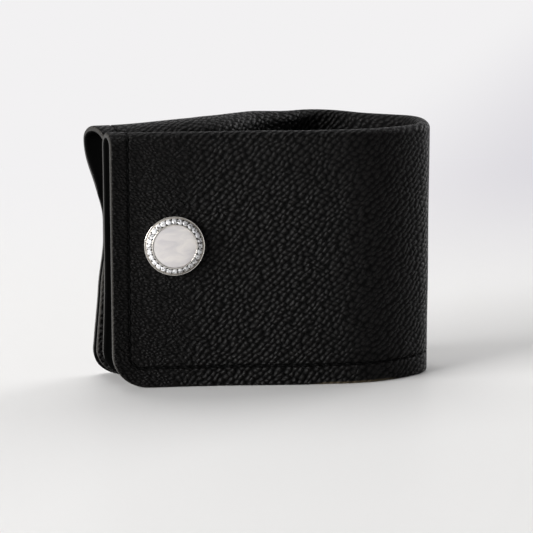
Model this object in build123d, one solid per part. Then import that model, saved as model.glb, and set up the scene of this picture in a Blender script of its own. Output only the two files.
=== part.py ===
from build123d import *
import os
from math import atan2, ceil, cos, degrees, hypot, pi, radians, sin

# A wide leather cuff bracelet. One lined panel is folded double along its top edge and bent into a
# loop, so that each side of the loop is two layers thick. The two ends lie together at the left and
# are held by a snap with a jewelled cap. Millimetres, +Z up, front wall in the XZ plane facing -Y.
# All plan positions are first worked out with the front wall's outer face at y = 0 and the snap's
# reference at x = 0. At the end everything moves to the middle of the outer box, at floor level.

# Leather panel
BAND_HEIGHT = 50.0          # fold crest above the bottom edges
SKIN = 0.8                  # grained leather
LINING = 0.4                # thin lining leather
GLUE = 0.05                 # glue film between skin and lining
FOLD_AIR = 0.3              # air between the two layers where they lie flat
LINING_SETBACK = 0.2        # the lining stops this far above the bottom edge
CORNER_RADIUS = 7.0         # rounded bottom corners of both ends
STRAP = 2.0 * (SKIN + GLUE + LINING) + FOLD_AIR

# Plan of the outer face, from the front tip round the side bend to the back tip
TIP_CURL = 16.0             # degrees that both ends curl forwards
TIP_LENGTH = 6.0            # curled stretch at the front tip, clear of the cap
FRONT_FLAT = 38.5           # flat front wall
SHOULDER_LENGTH = 17.0      # slack curve from the front wall into the side bend
SHOULDER_TURN = 39.0
SIDE_RADIUS = 6.7           # tight bend at the side of the wrist
SIDE_TURN = 113.0
CROWN_RADIUS = 13.0         # bulge of the back wall
CROWN_TURN = 68.0
NECK_RADIUS = 14.0          # reverse curve that brings the back wall to the snap
CLOSED_LENGTH = 10.0        # stretch where both ends lie parallel at the snap
STRAP_GAP = 2.4             # space between the two ends, filled by the snap
FRONT_TIP_X = -29.7

# How the layers splay where the ends are free
SPLAY_MID = 1.8             # front inner layer, at the snap's height
SPLAY_TOP = 1.9             # front inner layer, at the fold
SPLAY_BOTTOM = 4.8          # both inner layers, at the bottom edge
SPLAY_BACK = 0.8            # back outer layer, away from the back inner one at the bottom
SPLAY_REACH = 7.0
BOTTOM_REACH = 16.0
PUFF = 6.3                  # how far the back fold swells outwards at the tip
PUFF_FULL = 20.0            # length of full swelling from the back tip
PUFF_REACH = 52.0           # the swelling has died out here
PUFF_FROM = 0.74            # share of the height where the swelling starts
PUFF_FLATTEN = 0.35         # how much flatter than round the swollen fold is

# The back fold stands higher and leans outwards between its free end and the bulge of the back wall
RISE = 0.95                 # how much higher
LEAN = 2.4                  # how far outwards
LEAN_HEIGHT = 33.0          # the lean starts here, above the snap
RISE_FROM = 2.0             # lengths from the back tip where the rise starts, is full,
RISE_FULL = 24.0
EASE_FROM = 34.0            # eases to a part of it
EASE_TO = 44.0
EASE_SHARE = 0.65
RISE_END_FROM = 46.0        # and dies out
RISE_END = 60.0

# Stitching
STITCH_PITCH = 2.1
STITCH_LENGTH = 1.45
THREAD = 0.42               # thread diameter
STITCH_FROM_END = 3.0
STITCH_FROM_BOTTOM = 4.0

# Snap
SNAP_FROM_TIP = 12.0
SNAP_HEIGHT = 28.25
CAP_DIAMETER = 11.6
CAP_PLATE = 0.5
CAP_RIM = 0.25              # turned-up rim round the stones
CAP_RIM_HEIGHT = 0.85
INLAY_DIAMETER = 8.3
INLAY_TOP = 1.45            # inlay face above the leather
RING_INNER_TOP = 1.55       # stone ring above the leather, at the inlay
RING_OUTER_TOP = 0.8        # and at the rim
SEAT = 0.03                 # clearance round set pieces
STONE_COUNT = 28
STONE_DIAMETER = 0.96
BEAD_DIAMETER = 0.26
POST_DIAMETER = 3.4
POST_BORE = 2.2
POST_FLARE = 4.6
POST_FLARE_THICKNESS = 0.3
HOLE_CLEARANCE = 0.1        # radial, punched holes round the posts
SOCKET_FLANGE = 9.0
SOCKET_FLANGE_THICKNESS = 0.4
SOCKET_DIAMETER = 7.6
SOCKET_BORE = 6.2
SOCKET_DEPTH = 1.9          # depth of the socket's body, from the leather
SOCKET_FLOOR = 0.4
SPRING_WIRE = 0.4
SPRING_SPLIT = 40.0         # degrees of the gap in the spring ring
STUD_FLANGE = 7.4
STUD_FLANGE_THICKNESS = 0.3
STUD_NECK = 4.0
STUD_BULB = 4.5
STUD_REACH = 1.35           # how far the stud stands out of its flange
REAR_HEAD = 8.0
REAR_HEAD_THICKNESS = 0.7

# Hinge lines stand off the outer face, clear of the proud thread
HINGE_STANDOFF = 0.35

STACK = 2.0 * STRAP + STRAP_GAP
NECK_TURN = 180.0 - SHOULDER_TURN - SIDE_TURN - CROWN_TURN
LEG_SHARE = 0.45            # share of the section's run that is one leg; the fold has the rest
LEG_STEPS = (0.0, 0.2, 0.4, 0.55, 0.66, 0.72, 0.78, 0.84, 0.9, 0.95, 1.0)
FOLD_STEPS = 4
BELOW = 1.0                 # sections reach below the floor and are trimmed there
STATION = 8.0               # farthest apart that sections stand
FREE_STATION = 2.5          # and near the free ends
STATION_TURN = 8.0          # degrees between sections in a bend


def smooth(t):
    """Smooth step from 0 to 1."""
    t = min(1.0, max(0.0, t))
    return t * t * (3.0 - 2.0 * t)


def fade(t, reach):
    """1 at a free end, 0 from `reach` on."""
    return 1.0 - smooth(t / reach)


def arc_run(radius, turn):
    """A run of the plan as (length, turn in degrees)."""
    return (radius * radians(abs(turn)), turn)


def walk(point, heading, run, length):
    """Point and heading after `length` of one run."""
    turn = radians(run[1]) * length / run[0]
    if abs(turn) < 1e-9:
        return (point[0] + length * cos(heading), point[1] + length * sin(heading)), heading
    radius = length / turn
    x = point[0] + radius * (sin(heading + turn) - sin(heading))
    y = point[1] - radius * (cos(heading + turn) - cos(heading))
    return (x, y), heading + turn


def plan_runs():
    """All runs of the outer plan; the two straight back runs are solved so that the ends meet."""
    curl_radius = TIP_LENGTH / radians(TIP_CURL)
    before = [
        (TIP_LENGTH, -TIP_CURL),
        (FRONT_FLAT, 0.0),
        (SHOULDER_LENGTH, SHOULDER_TURN),
        arc_run(SIDE_RADIUS, SIDE_TURN),
    ]
    crown = arc_run(CROWN_RADIUS, CROWN_TURN)
    after = [
        arc_run(NECK_RADIUS, NECK_TURN),
        (CLOSED_LENGTH, 0.0),
        ((curl_radius + STACK) * radians(TIP_CURL), TIP_CURL),
    ]
    point, heading = START, radians(TIP_CURL)
    for run in before:
        point, heading = walk(point, heading, run, run[0])
    first = heading
    point, heading = walk(point, heading, crown, crown[0])
    second = heading
    for run in after:
        point, heading = walk(point, heading, run, run[0])
    aim = (START[0] - STACK * sin(radians(TIP_CURL)), START[1] + STACK * cos(radians(TIP_CURL)))
    dx, dy = aim[0] - point[0], aim[1] - point[1]
    across = cos(first) * sin(second) - sin(first) * cos(second)
    slant = (dx * sin(second) - dy * cos(second)) / across
    descent = (cos(first) * dy - sin(first) * dx) / across
    return before + [(slant, 0.0), crown, (descent, 0.0)] + after


CURL_DROP = TIP_LENGTH / radians(TIP_CURL) * (1.0 - cos(radians(TIP_CURL)))
START = (FRONT_TIP_X, -CURL_DROP)
RUNS = plan_runs()
RUN_ENDS = [sum(run[0] for run in RUNS[:i + 1]) for i in range(len(RUNS))]
TOTAL = RUN_ENDS[-1]
SHOULDER_CUT = RUN_ENDS[1] + SHOULDER_LENGTH / 2.0
SIDE_CUT = RUN_ENDS[2] + RUNS[3][0] / 2.0
CROWN_CUT = RUN_ENDS[4] + RUNS[5][0] / 2.0


def plan(s):
    """Point and heading of the outer face at length s from the front tip."""
    point, heading = START, radians(TIP_CURL)
    for run in RUNS:
        step = min(s, run[0])
        point, heading = walk(point, heading, run, step)
        s -= step
        if s <= 0.0:
            break
    return point, heading


def spread(s):
    """How the two layers stand at length s: fold swelling, and shifts of the layers."""
    back = TOTAL - s
    if s < TOTAL / 2.0:
        low = SPLAY_BOTTOM * fade(s, BOTTOM_REACH)
        return {
            "puff": 0.0,
            "inner_mid": SPLAY_MID * fade(s, SPLAY_REACH),
            "inner_top": SPLAY_TOP * fade(s, SPLAY_REACH),
            "inner_low": low,
            "outer_low": 0.0,
        }
    low = SPLAY_BOTTOM * fade(back, BOTTOM_REACH)
    return {
        "puff": PUFF * (1.0 - smooth((back - PUFF_FULL) / (PUFF_REACH - PUFF_FULL))),
        "inner_mid": 0.0,
        "inner_top": 0.0,
        "inner_low": -low,
        "outer_low": low + SPLAY_BACK * fade(back, BOTTOM_REACH),
    }


def back_rise(s):
    """Share of the back fold's rise and lean at length s."""
    back = TOTAL - s
    if s < TOTAL / 2.0:
        return 0.0
    begin = smooth((back - RISE_FROM) / (RISE_FULL - RISE_FROM))
    ease = 1.0 - EASE_SHARE * smooth((back - EASE_FROM) / (EASE_TO - EASE_FROM))
    return begin * ease * (1.0 - smooth((back - RISE_END_FROM) / (RISE_END - RISE_END_FROM)))


def fold_size(s):
    """Half width, height, middle and springing height of the fold's arch at length s."""
    state = spread(s)
    risen = back_rise(s)
    half = (state["puff"] + STRAP + state["inner_top"]) / 2.0
    rise = half * (1.0 - PUFF_FLATTEN * state["puff"] / PUFF)
    middle = (state["puff"] - STRAP - state["inner_top"]) / 2.0 + LEAN * risen
    return half, rise, middle, BAND_HEIGHT + RISE * risen - rise


def contour(s, u):
    """Outer outline of the section at s, as (distance outwards, height); u runs 0 to 1 over the fold."""
    state = spread(s)
    half, rise, middle, spring = fold_size(s)
    if LEG_SHARE < u < 1.0 - LEG_SHARE:
        angle = pi * (u - LEG_SHARE) / (1.0 - 2.0 * LEG_SHARE)
        return middle + half * cos(angle), spring + rise * sin(angle)
    outer = u <= LEG_SHARE
    share = u / LEG_SHARE if outer else (1.0 - u) / LEG_SHARE
    z = -BELOW + (spring + BELOW) * share
    low = max(0.0, 1.0 - z / SNAP_HEIGHT) ** 2
    start = PUFF_FROM * BAND_HEIGHT
    up = smooth((z - start) / (spring - start))
    lean = LEAN * back_rise(s) * smooth((z - LEAN_HEIGHT) / (spring - LEAN_HEIGHT))
    if outer:
        return lean + state["puff"] * up + state["outer_low"] * low, z
    shift = state["inner_mid"] + (state["inner_top"] - state["inner_mid"]) * up
    return lean - (STRAP + shift + (state["inner_low"] - state["inner_mid"]) * low), z


def inset(s, u, depth):
    """The outline moved `depth` into the leather, square to itself."""
    step = 1e-4
    a = contour(s, max(0.0, u - step))
    b = contour(s, min(1.0, u + step))
    run = hypot(b[0] - a[0], b[1] - a[1])
    n, z = contour(s, u)
    return n - depth * (b[1] - a[1]) / run, z + depth * (b[0] - a[0]) / run


def surface(s, u, depth=0.0):
    """Space point of the panel at length s and outline share u."""
    (x, y), heading = plan(s)
    n, z = inset(s, u, depth)
    return Vector(x + n * sin(heading), y - n * cos(heading), z)


def outline_parts():
    """Outline shares of the outer leg, the two halves of the fold and the inner leg."""
    leg = [LEG_SHARE * step for step in LEG_STEPS]
    half_fold = 0.5 - LEG_SHARE
    climb = [LEG_SHARE + half_fold * i / FOLD_STEPS for i in range(FOLD_STEPS + 1)]
    rising = [leg, climb]
    return rising + [[1.0 - u for u in reversed(part)] for part in reversed(rising)]


def section(s, depth, thickness):
    """Closed section of one layer at length s: out over the fold, and back along its inside."""
    outside = [[surface(s, u, depth) for u in part] for part in outline_parts()]
    inside = [[surface(s, u, depth + thickness) for u in part] for part in outline_parts()]
    back = [list(reversed(part)) for part in reversed(inside)]
    edges = [Edge.make_spline(points) for points in outside]
    edges.append(Edge.make_line(outside[-1][-1], back[0][0]))
    edges += [Edge.make_spline(points) for points in back]
    edges.append(Edge.make_line(back[-1][-1], outside[0][0]))
    return Wire(edges)


def stations(start, end):
    """Section places from start to end: run ends, and closer together where the plan turns."""
    places = [start]
    begin = 0.0
    for run, finish in zip(RUNS, RUN_ENDS):
        low, high = max(start, begin), min(end, finish)
        begin = finish
        if high - low < 0.2:
            continue
        turned = abs(run[1]) * (high - low) / run[0]
        free = min(low, TOTAL - high) < BOTTOM_REACH
        steps = max(1, ceil(turned / STATION_TURN), ceil((high - low) / (FREE_STATION if free else STATION)))
        places += [low + (high - low) * i / steps for i in range(1, steps + 1)]
    return places


def layer(start, end, depth, thickness, setback):
    """One leather layer between two lengths of the plan, standing on the floor plane."""
    solid = Solid.make_loft([section(s, depth, thickness) for s in stations(start, end)], ruled=True)
    reach = 4.0 * TOTAL
    below = Pos(0, 0, setback - reach / 2.0) * Box(reach, reach, reach)
    return solid - below


def corner_cut(s, turned):
    """What the rounded bottom corner takes off an end at length s; `turned` for the back tip."""
    (x, y), heading = plan(s)
    square = Pos(CORNER_RADIUS / 2.0 - BELOW, CORNER_RADIUS / 2.0 - BELOW) * Rectangle(
        CORNER_RADIUS + 2.0 * BELOW, CORNER_RADIUS + 2.0 * BELOW)
    keep = Pos(CORNER_RADIUS, CORNER_RADIUS) * Circle(CORNER_RADIUS)
    beyond = Pos(CORNER_RADIUS * 1.5, CORNER_RADIUS) * Rectangle(CORNER_RADIUS, 2.0 * CORNER_RADIUS)
    above = Pos(CORNER_RADIUS, CORNER_RADIUS * 1.5) * Rectangle(2.0 * CORNER_RADIUS, CORNER_RADIUS)
    profile = square - keep - beyond - above
    depth = STACK + SPLAY_BOTTOM + PUFF
    away = -1.0 if turned else 1.0
    across = Plane((x, y, 0), x_dir=(away * cos(heading), away * sin(heading), 0),
                   z_dir=(away * sin(heading), -away * cos(heading), 0))
    return extrude(across * profile, amount=depth, both=True)


def hole(radius):
    """Punched hole through both ends at the snap."""
    return on_snap_axis(Cylinder(radius, 4.0 * STACK))


def on_snap_axis(shape):
    """Turns a shape modelled along +Z so that its +Z looks forwards out of the snap."""
    return Pos(START[0] + SNAP_X, 0, SNAP_HEIGHT) * Rot(90, 0, 0) * shape


SNAP_X = plan(SNAP_FROM_TIP)[0][0] - START[0]


def ring_of(profile_points):
    """Body of revolution about +Z from (radius, height) points."""
    profile = Polyline(*[(r, 0, z) for r, z in profile_points], close=True)
    return revolve(make_face(profile), axis=Axis.Z)


def stitch(a, b):
    """One stitch lying between two points of the leather."""
    run = b - a
    body = Cylinder(THREAD / 2.0, STITCH_LENGTH - THREAD)
    ends = [Pos(0, 0, side * (STITCH_LENGTH - THREAD) / 2.0) * Sphere(THREAD / 2.0) for side in (-1, 1)]
    return Plane((a + b) * 0.5, z_dir=run) * (body + ends)


def height_share(s, z, inner):
    """Outline share of a height on one leg."""
    spring = fold_size(s)[3]
    share = LEG_SHARE * (z + BELOW) / (spring + BELOW)
    return 1.0 - share if inner else share


def seam(points):
    """Stitches along a line of the panel, given as (length, outline share) corner points."""
    places = []
    for (s0, u0), (s1, u1) in zip(points, points[1:]):
        fine = 60
        places += [surface(s0 + (s1 - s0) * i / fine, u0 + (u1 - u0) * i / fine) for i in range(fine)]
    places.append(surface(*points[-1]))
    runs = [0.0]
    for a, b in zip(places, places[1:]):
        runs.append(runs[-1] + (b - a).length)
    count = max(1, int(runs[-1] / STITCH_PITCH))
    pitch = runs[-1] / count

    def along(distance):
        i = max(j for j in range(len(runs) - 1) if runs[j] <= distance)
        share = (distance - runs[i]) / (runs[i + 1] - runs[i])
        return places[i] + (places[i + 1] - places[i]) * share

    half = STITCH_LENGTH / 2.0
    return [stitch(along((i + 0.5) * pitch - half), along((i + 0.5) * pitch + half)) for i in range(count)]


def bottom_seam(start, end, inner):
    """Row of stitches above the bottom edge of one leg."""
    count = max(2, ceil(abs(end - start) / 3.0))
    places = [start + (end - start) * i / count for i in range(count + 1)]
    return seam([(s, height_share(s, STITCH_FROM_BOTTOM, inner)) for s in places])


def end_seam(tip, inwards):
    """Row of stitches round one end: up the outer layer, over the fold and down the inner one."""
    s = tip + inwards * STITCH_FROM_END
    corner = tip + inwards * CORNER_RADIUS
    rows = []
    for inner in (False, True):
        rows += seam([(corner, height_share(corner, STITCH_FROM_BOTTOM, inner)),
                      (s, height_share(s, CORNER_RADIUS + STITCH_FROM_END / 2.0, inner))])
    rise = height_share(s, CORNER_RADIUS + STITCH_FROM_END / 2.0, False)
    rows += seam([(s, rise + (1.0 - 2.0 * rise) * i / 12.0) for i in range(13)])
    return rows


def thread(start, end, rows=()):
    """All stitches of one stretch of the panel."""
    return list(rows) + bottom_seam(start, end, False) + bottom_seam(start, end, True)


def leather_nodes():
    """Skin, lining and thread of the four stretches between the flex lines."""
    front_end, back_end = CORNER_RADIUS, TOTAL - CORNER_RADIUS
    inside = SKIN + GLUE
    stretches = {
        "front": (0.0, SHOULDER_CUT),
        "bend_front": (SHOULDER_CUT, SIDE_CUT),
        "bend_back": (SIDE_CUT, CROWN_CUT),
        "back": (CROWN_CUT, TOTAL),
    }
    nodes = {}
    for name, (start, end) in stretches.items():
        nodes["skin_" + name] = layer(start, end, 0.0, SKIN, 0.0)
        nodes["lining_" + name] = layer(start, end, inside, LINING, LINING_SETBACK)
        rows = ()
        low, high = start, end
        if name == "front":
            rows, low = end_seam(0.0, 1.0), front_end
        if name == "back":
            rows, high = end_seam(TOTAL, -1.0), back_end
        nodes["thread_" + name] = Compound(thread(low, high, rows))
    punched = hole(POST_DIAMETER / 2.0 + HOLE_CLEARANCE)
    for name in ("skin_", "lining_"):
        nodes[name + "front"] = nodes[name + "front"] - corner_cut(0.0, False) - punched
        nodes[name + "back"] = nodes[name + "back"] - corner_cut(TOTAL, True) - punched
    return nodes


def stone_places():
    """Seats of the stones on the slanted ring: middle radius, height and slant."""
    inner = INLAY_DIAMETER / 2.0 + SEAT
    outer = CAP_DIAMETER / 2.0 - CAP_RIM - SEAT
    slant = degrees(atan2(RING_INNER_TOP - RING_OUTER_TOP, outer - inner))
    return (inner + outer) / 2.0, (RING_INNER_TOP + RING_OUTER_TOP) / 2.0, slant


def on_ring(shape, angle, along=0.0):
    """Sets a shape on the slanted ring at an angle, `along` outwards from the middle radius."""
    radius, height, slant = stone_places()
    return Rot(0, 0, angle) * Pos(radius, 0, height) * Rot(0, slant, 0) * Pos(along, 0, 0) * shape


def brilliant(extra):
    """Round cut stone with its girdle at z = 0, grown by `extra` for its seat."""
    r = STONE_DIAMETER / 2.0 + extra
    return ring_of([(0, -0.62 * r), (r, -0.04), (r, 0.04), (0.56 * r, 0.34 * r), (0, 0.34 * r)])


def cap_nodes():
    """The jewelled cap: plate with rim, stone ring, stones, beads, inlay and post."""
    rim = CAP_DIAMETER / 2.0
    inlay = INLAY_DIAMETER / 2.0
    inner, outer = inlay + SEAT, rim - CAP_RIM - SEAT
    post = POST_DIAMETER / 2.0
    plate = ring_of([
        (post, 0), (rim, 0), (rim, CAP_RIM_HEIGHT), (rim - CAP_RIM, CAP_RIM_HEIGHT), (rim - CAP_RIM, CAP_PLATE),
        (post, CAP_PLATE)])
    ring = ring_of([(inner, CAP_PLATE), (outer, CAP_PLATE), (outer, RING_OUTER_TOP), (inner, RING_INNER_TOP)])
    step = 360.0 / STONE_COUNT
    seats = [on_ring(brilliant(SEAT), i * step) for i in range(STONE_COUNT)]
    stones = [on_ring(brilliant(0.0), i * step) for i in range(STONE_COUNT)]
    bead_row = STONE_DIAMETER * 0.4
    beads = [on_ring(Sphere(BEAD_DIAMETER / 2.0), (i + 0.5) * step, side * bead_row)
             for i in range(STONE_COUNT) for side in (-1, 1)]
    disc = ring_of([(0, CAP_PLATE + SEAT), (inlay, CAP_PLATE + SEAT), (inlay, INLAY_TOP - 0.15),
                    (inlay - 0.15, INLAY_TOP), (0, INLAY_TOP)])
    end = STRAP + SOCKET_FLOOR
    shank = ring_of([
        (POST_BORE / 2.0, CAP_PLATE), (post, CAP_PLATE), (post, -end), (POST_FLARE / 2.0, -end),
        (POST_FLARE / 2.0, -end - POST_FLARE_THICKNESS), (POST_BORE / 2.0, -end - POST_FLARE_THICKNESS)])
    nodes = {
        "cap_plate": plate,
        "stone_ring": ring - seats,
        "stones": Compound(stones),
        "setting_beads": Compound(beads),
        "inlay_disc": disc,
        "cap_post": shank,
    }
    return {name: on_snap_axis(shape) for name, shape in nodes.items()}


def socket_nodes():
    """Socket behind the front end, with its split spring ring."""
    post = POST_DIAMETER / 2.0
    bore, body = SOCKET_BORE / 2.0, SOCKET_DIAMETER / 2.0
    back = -STRAP
    wire = SPRING_WIRE / 2.0
    lip = STRAP + SOCKET_DEPTH
    shell = ring_of([
        (post, back), (SOCKET_FLANGE / 2.0, back), (SOCKET_FLANGE / 2.0, back - SOCKET_FLANGE_THICKNESS),
        (body, back - SOCKET_FLANGE_THICKNESS), (body, -lip), (bore - SPRING_WIRE, -lip),
        (bore - SPRING_WIRE, -lip + SPRING_WIRE / 2.0), (bore, -lip + SPRING_WIRE / 2.0),
        (bore, back - SOCKET_FLOOR), (post, back - SOCKET_FLOOR)])
    middle = bore - wire - SEAT
    height = -lip + SPRING_WIRE / 2.0 + wire + SEAT
    loop = Plane((middle, 0, height), z_dir=(0, 1, 0)) * Circle(wire)
    ring = Rot(0, 0, SPRING_SPLIT / 2.0) * revolve(loop, axis=Axis.Z, revolution_arc=360.0 - SPRING_SPLIT)
    return {"socket": on_snap_axis(shell), "socket_spring": on_snap_axis(ring)}


def stud_nodes():
    """Stud on the back end, with the headed post that rivets it through both layers."""
    face = -(STRAP + STRAP_GAP)
    rear = -STACK - SEAT
    post = POST_DIAMETER / 2.0
    front = face + STUD_FLANGE_THICKNESS
    tip = front + STUD_REACH
    neck, bulb = STUD_NECK / 2.0, STUD_BULB / 2.0
    cavity = tip - 0.35
    stud = ring_of([
        (post, face), (STUD_FLANGE / 2.0, face), (STUD_FLANGE / 2.0, front), (neck, front),
        (neck, front + 0.35 * STUD_REACH), (bulb, front + 0.65 * STUD_REACH), (bulb - 0.25, tip), (0, tip),
        (0, cavity), (post, cavity)])
    rivet = ring_of([
        (0, rear), (0, rear - REAR_HEAD_THICKNESS), (0.3 * REAR_HEAD, rear - REAR_HEAD_THICKNESS),
        (REAR_HEAD / 2.0, rear - 0.3 * REAR_HEAD_THICKNESS), (REAR_HEAD / 2.0, rear), (post, rear),
        (post, cavity), (POST_BORE / 2.0, cavity), (POST_BORE / 2.0, rear)])
    return {"stud": on_snap_axis(stud), "stud_post": on_snap_axis(rivet)}


def hinge_line(s):
    """Plan point of a flex line, just off the outermost point of the section there."""
    (x, y), heading = plan(s)
    reach = HINGE_STANDOFF + max(contour(s, u)[0] for part in outline_parts() for u in part)
    return x + reach * sin(heading), y - reach * cos(heading)


def main():
    nodes = {**leather_nodes(), **cap_nodes(), **socket_nodes(), **stud_nodes()}
    box = Compound(list(nodes.values())).bounding_box()
    shift = (-(box.min.X + box.max.X) / 2.0, -(box.min.Y + box.max.Y) / 2.0)
    os.makedirs("parts", exist_ok=True)
    for name, shape in nodes.items():
        export_step(Pos(shift[0], shift[1], 0) * shape, "parts/" + name + ".step")
    print("outer box", box.size, "loop length", round(TOTAL, 2))
    for name, cut in (("shoulder", SHOULDER_CUT), ("side", SIDE_CUT), ("crown", CROWN_CUT)):
        x, y = hinge_line(cut)
        print(name, "flex line", round(x + shift[0], 3), round(y + shift[1], 3))
    print("snap", round(START[0] + SNAP_X + shift[0], 3), round(shift[1], 3), SNAP_HEIGHT)


main()
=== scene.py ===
"""A black grained-leather cuff with a jewelled snap: its visible pieces, finishes and studio."""
from math import atan2, cos, hypot, pi, radians, sin, sqrt

import bmesh
import bpy
import numpy as np
from bpy.props import FloatProperty, FloatVectorProperty, IntProperty, PointerProperty
from mathutils import Matrix, Vector, noise


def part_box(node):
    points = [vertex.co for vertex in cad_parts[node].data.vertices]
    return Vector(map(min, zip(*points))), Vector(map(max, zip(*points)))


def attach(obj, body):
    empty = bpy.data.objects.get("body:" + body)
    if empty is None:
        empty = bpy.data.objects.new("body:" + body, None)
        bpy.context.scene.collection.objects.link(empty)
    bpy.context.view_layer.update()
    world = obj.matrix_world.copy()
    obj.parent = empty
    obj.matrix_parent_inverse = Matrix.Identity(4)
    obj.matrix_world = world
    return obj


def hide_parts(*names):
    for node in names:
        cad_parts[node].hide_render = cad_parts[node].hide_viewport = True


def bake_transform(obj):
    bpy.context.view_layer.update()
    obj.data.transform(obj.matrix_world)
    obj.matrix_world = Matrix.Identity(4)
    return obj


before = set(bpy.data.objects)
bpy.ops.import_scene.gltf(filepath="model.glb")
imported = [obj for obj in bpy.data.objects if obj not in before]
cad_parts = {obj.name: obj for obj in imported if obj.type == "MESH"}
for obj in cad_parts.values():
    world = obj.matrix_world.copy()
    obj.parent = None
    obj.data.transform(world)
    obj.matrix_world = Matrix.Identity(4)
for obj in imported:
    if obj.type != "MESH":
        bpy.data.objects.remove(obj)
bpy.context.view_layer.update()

bl_info = {
    "name": "Leather cuff with a jewelled snap",
    "version": (1, 0, 0),
    "blender": (4, 5, 0),
    "location": "View3D > Sidebar > Cuff",
    "description": "Folds the leather band, sews it, sets the jewelled snap and lights the studio",
    "category": "Add Mesh",
}

# The shapes below are worked out in millimetres; the scene is in metres.
MM = 0.001

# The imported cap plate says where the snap's axis stands and where the front leather face is.
PLATE_LOW, PLATE_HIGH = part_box("cap_plate")
SNAP = Vector(((PLATE_LOW.x + PLATE_HIGH.x) / 2.0, PLATE_HIGH.y, (PLATE_LOW.z + PLATE_HIGH.z) / 2.0))

# Plan of the outer leather face, from the front tip round the side bend to the back tip
TIP_CURL = 16.0             # degrees that both ends curl forwards
TIP_LENGTH = 6.0
FRONT_FLAT = 38.5
SHOULDER_LENGTH = 17.0
SHOULDER_TURN = 39.0
SIDE_RADIUS = 6.7
SIDE_TURN = 113.0
CROWN_RADIUS = 13.0
CROWN_TURN = 68.0
NECK_RADIUS = 14.0
CLOSED_LENGTH = 10.0
STRAP_GAP = 2.4
FRONT_TIP_X = -29.7
STRAP = 2.8                 # the two layers of the folded band with the air between them
STACK = 2.0 * STRAP + STRAP_GAP
NECK_TURN = 180.0 - SHOULDER_TURN - SIDE_TURN - CROWN_TURN
SNAP_FROM_TIP = 12.0
SNAP_HEIGHT = SNAP.z / MM

# How the layers splay where the ends are free
SPLAY_MID = 1.8
SPLAY_TOP = 1.9
SPLAY_BOTTOM = 4.8
SPLAY_BACK = 0.8
SPLAY_REACH = 7.0
BOTTOM_REACH = 16.0
PUFF_FULL = 20.0
PUFF_REACH = 52.0
PUFF_FROM = 0.74
PUFF_FLATTEN = 0.35
LEG_SHARE = 0.45            # share of the outline's run that is one leg; the fold has the rest

# The back fold stands higher and leans outwards between its free end and the bulge of the back wall.
LEAN_HEIGHT = 33.0
RISE_FROM = 2.0
RISE_FULL = 24.0
EASE_FROM = 34.0
EASE_TO = 44.0
EASE_SHARE = 0.65
RISE_END_FROM = 46.0
RISE_END = 60.0

# Soft leather at the free ends. The cut end of the back stands out at its foot, and going up it is drawn
# back by each step's amount: (amount, from this height, over this much). The inner layer has one more step.
WAVER_REACH = 11.0
WAVER_FOOT = -0.28
WAVER_STEPS = ((0.28, 9.0, 11.0), (0.95, 18.5, 10.0), (-0.95, 32.0, 6.5), (-0.85, 34.5, 8.5),
               (0.2, 43.0, 5.0))
WAVER_INNER = (1.5, 33.0, 8.0)
TIP_REACH = 7.0
FRONT_PART = 0.8            # the front's inner layer stands this much farther from the outer one
BACK_PART = 0.7             # and the back's layers give way to it by this much

# Swelling of the front wall, from beside the snap into the shoulder
BULGE = 0.95
BULGE_FROM = 18.0
BULGE_RISE = 20.0
BULGE_TO = 61.0
BULGE_FALL = 7.0

# Soft unevenness of the leather, which dies out at the cut edges and round the snap
WAVE_LENGTH = 13.0
WAVE_FROM_EDGE = 3.0
WAVE_FROM_SNAP = 7.0
WAVE_RISE = 6.0
WAVE_SEED = 4.2

# Where the leather is parted: between the bends
SIDE_FROM = 60.5
SIDE_TO = 80.5
BEND_MIDDLE = 65.0
FLOOR_LIT_MIDDLE = 47.5           # middle of the stretch of bottom edge painted paler tan, as painted light from the floor

# Stitch line
STITCH_FROM_END = 3.35
STITCH_FROM_BOTTOM = 4.0
STITCH_TURN = 4.9           # the bottom row stops this far from the end
STITCH_TURN_UP = 5.6        # and the end row starts at this height
ROW_POINTS = 140            # points that the bottom row, its turn and the end row are followed by
TURN_POINTS = 12
END_POINTS = 240
STITCH_WIDE = 1.15          # a stitch's width and height by its thread, and how far its ends dip
STITCH_FLAT = 0.9
STITCH_DIP = 0.5
GROOVE_WIDTH = 0.26
GROOVE_THROUGH = 0.5        # share of the groove that shows on the lining
INNER_ROUNDING = 0.7        # share of the edges' rounding that the lining has

# Grid of the leather: close columns and rows at the stitch line, the cut edges, the bends and the fold
COLUMN = 0.8
BEND_COLUMN = 0.45
CORNER_STEP = 6             # degrees from column to column round a corner
STITCH_COLUMNS = (-0.8, -0.5, -0.25, 0.0, 0.25, 0.5, 0.8)
CLOSEST = 0.03
LOW_ROWS = (0.0, 0.06, 0.2, 0.42, 0.8, 1.3, 1.8, 2.3, 2.8, 3.15, 3.45, 3.72, 4.0, 4.28, 4.55, 4.85, 5.3, 5.9)
LEG_HEIGHT = 48.6
LEG_ROWS = 46
FOLD_ROWS = 22

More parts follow.
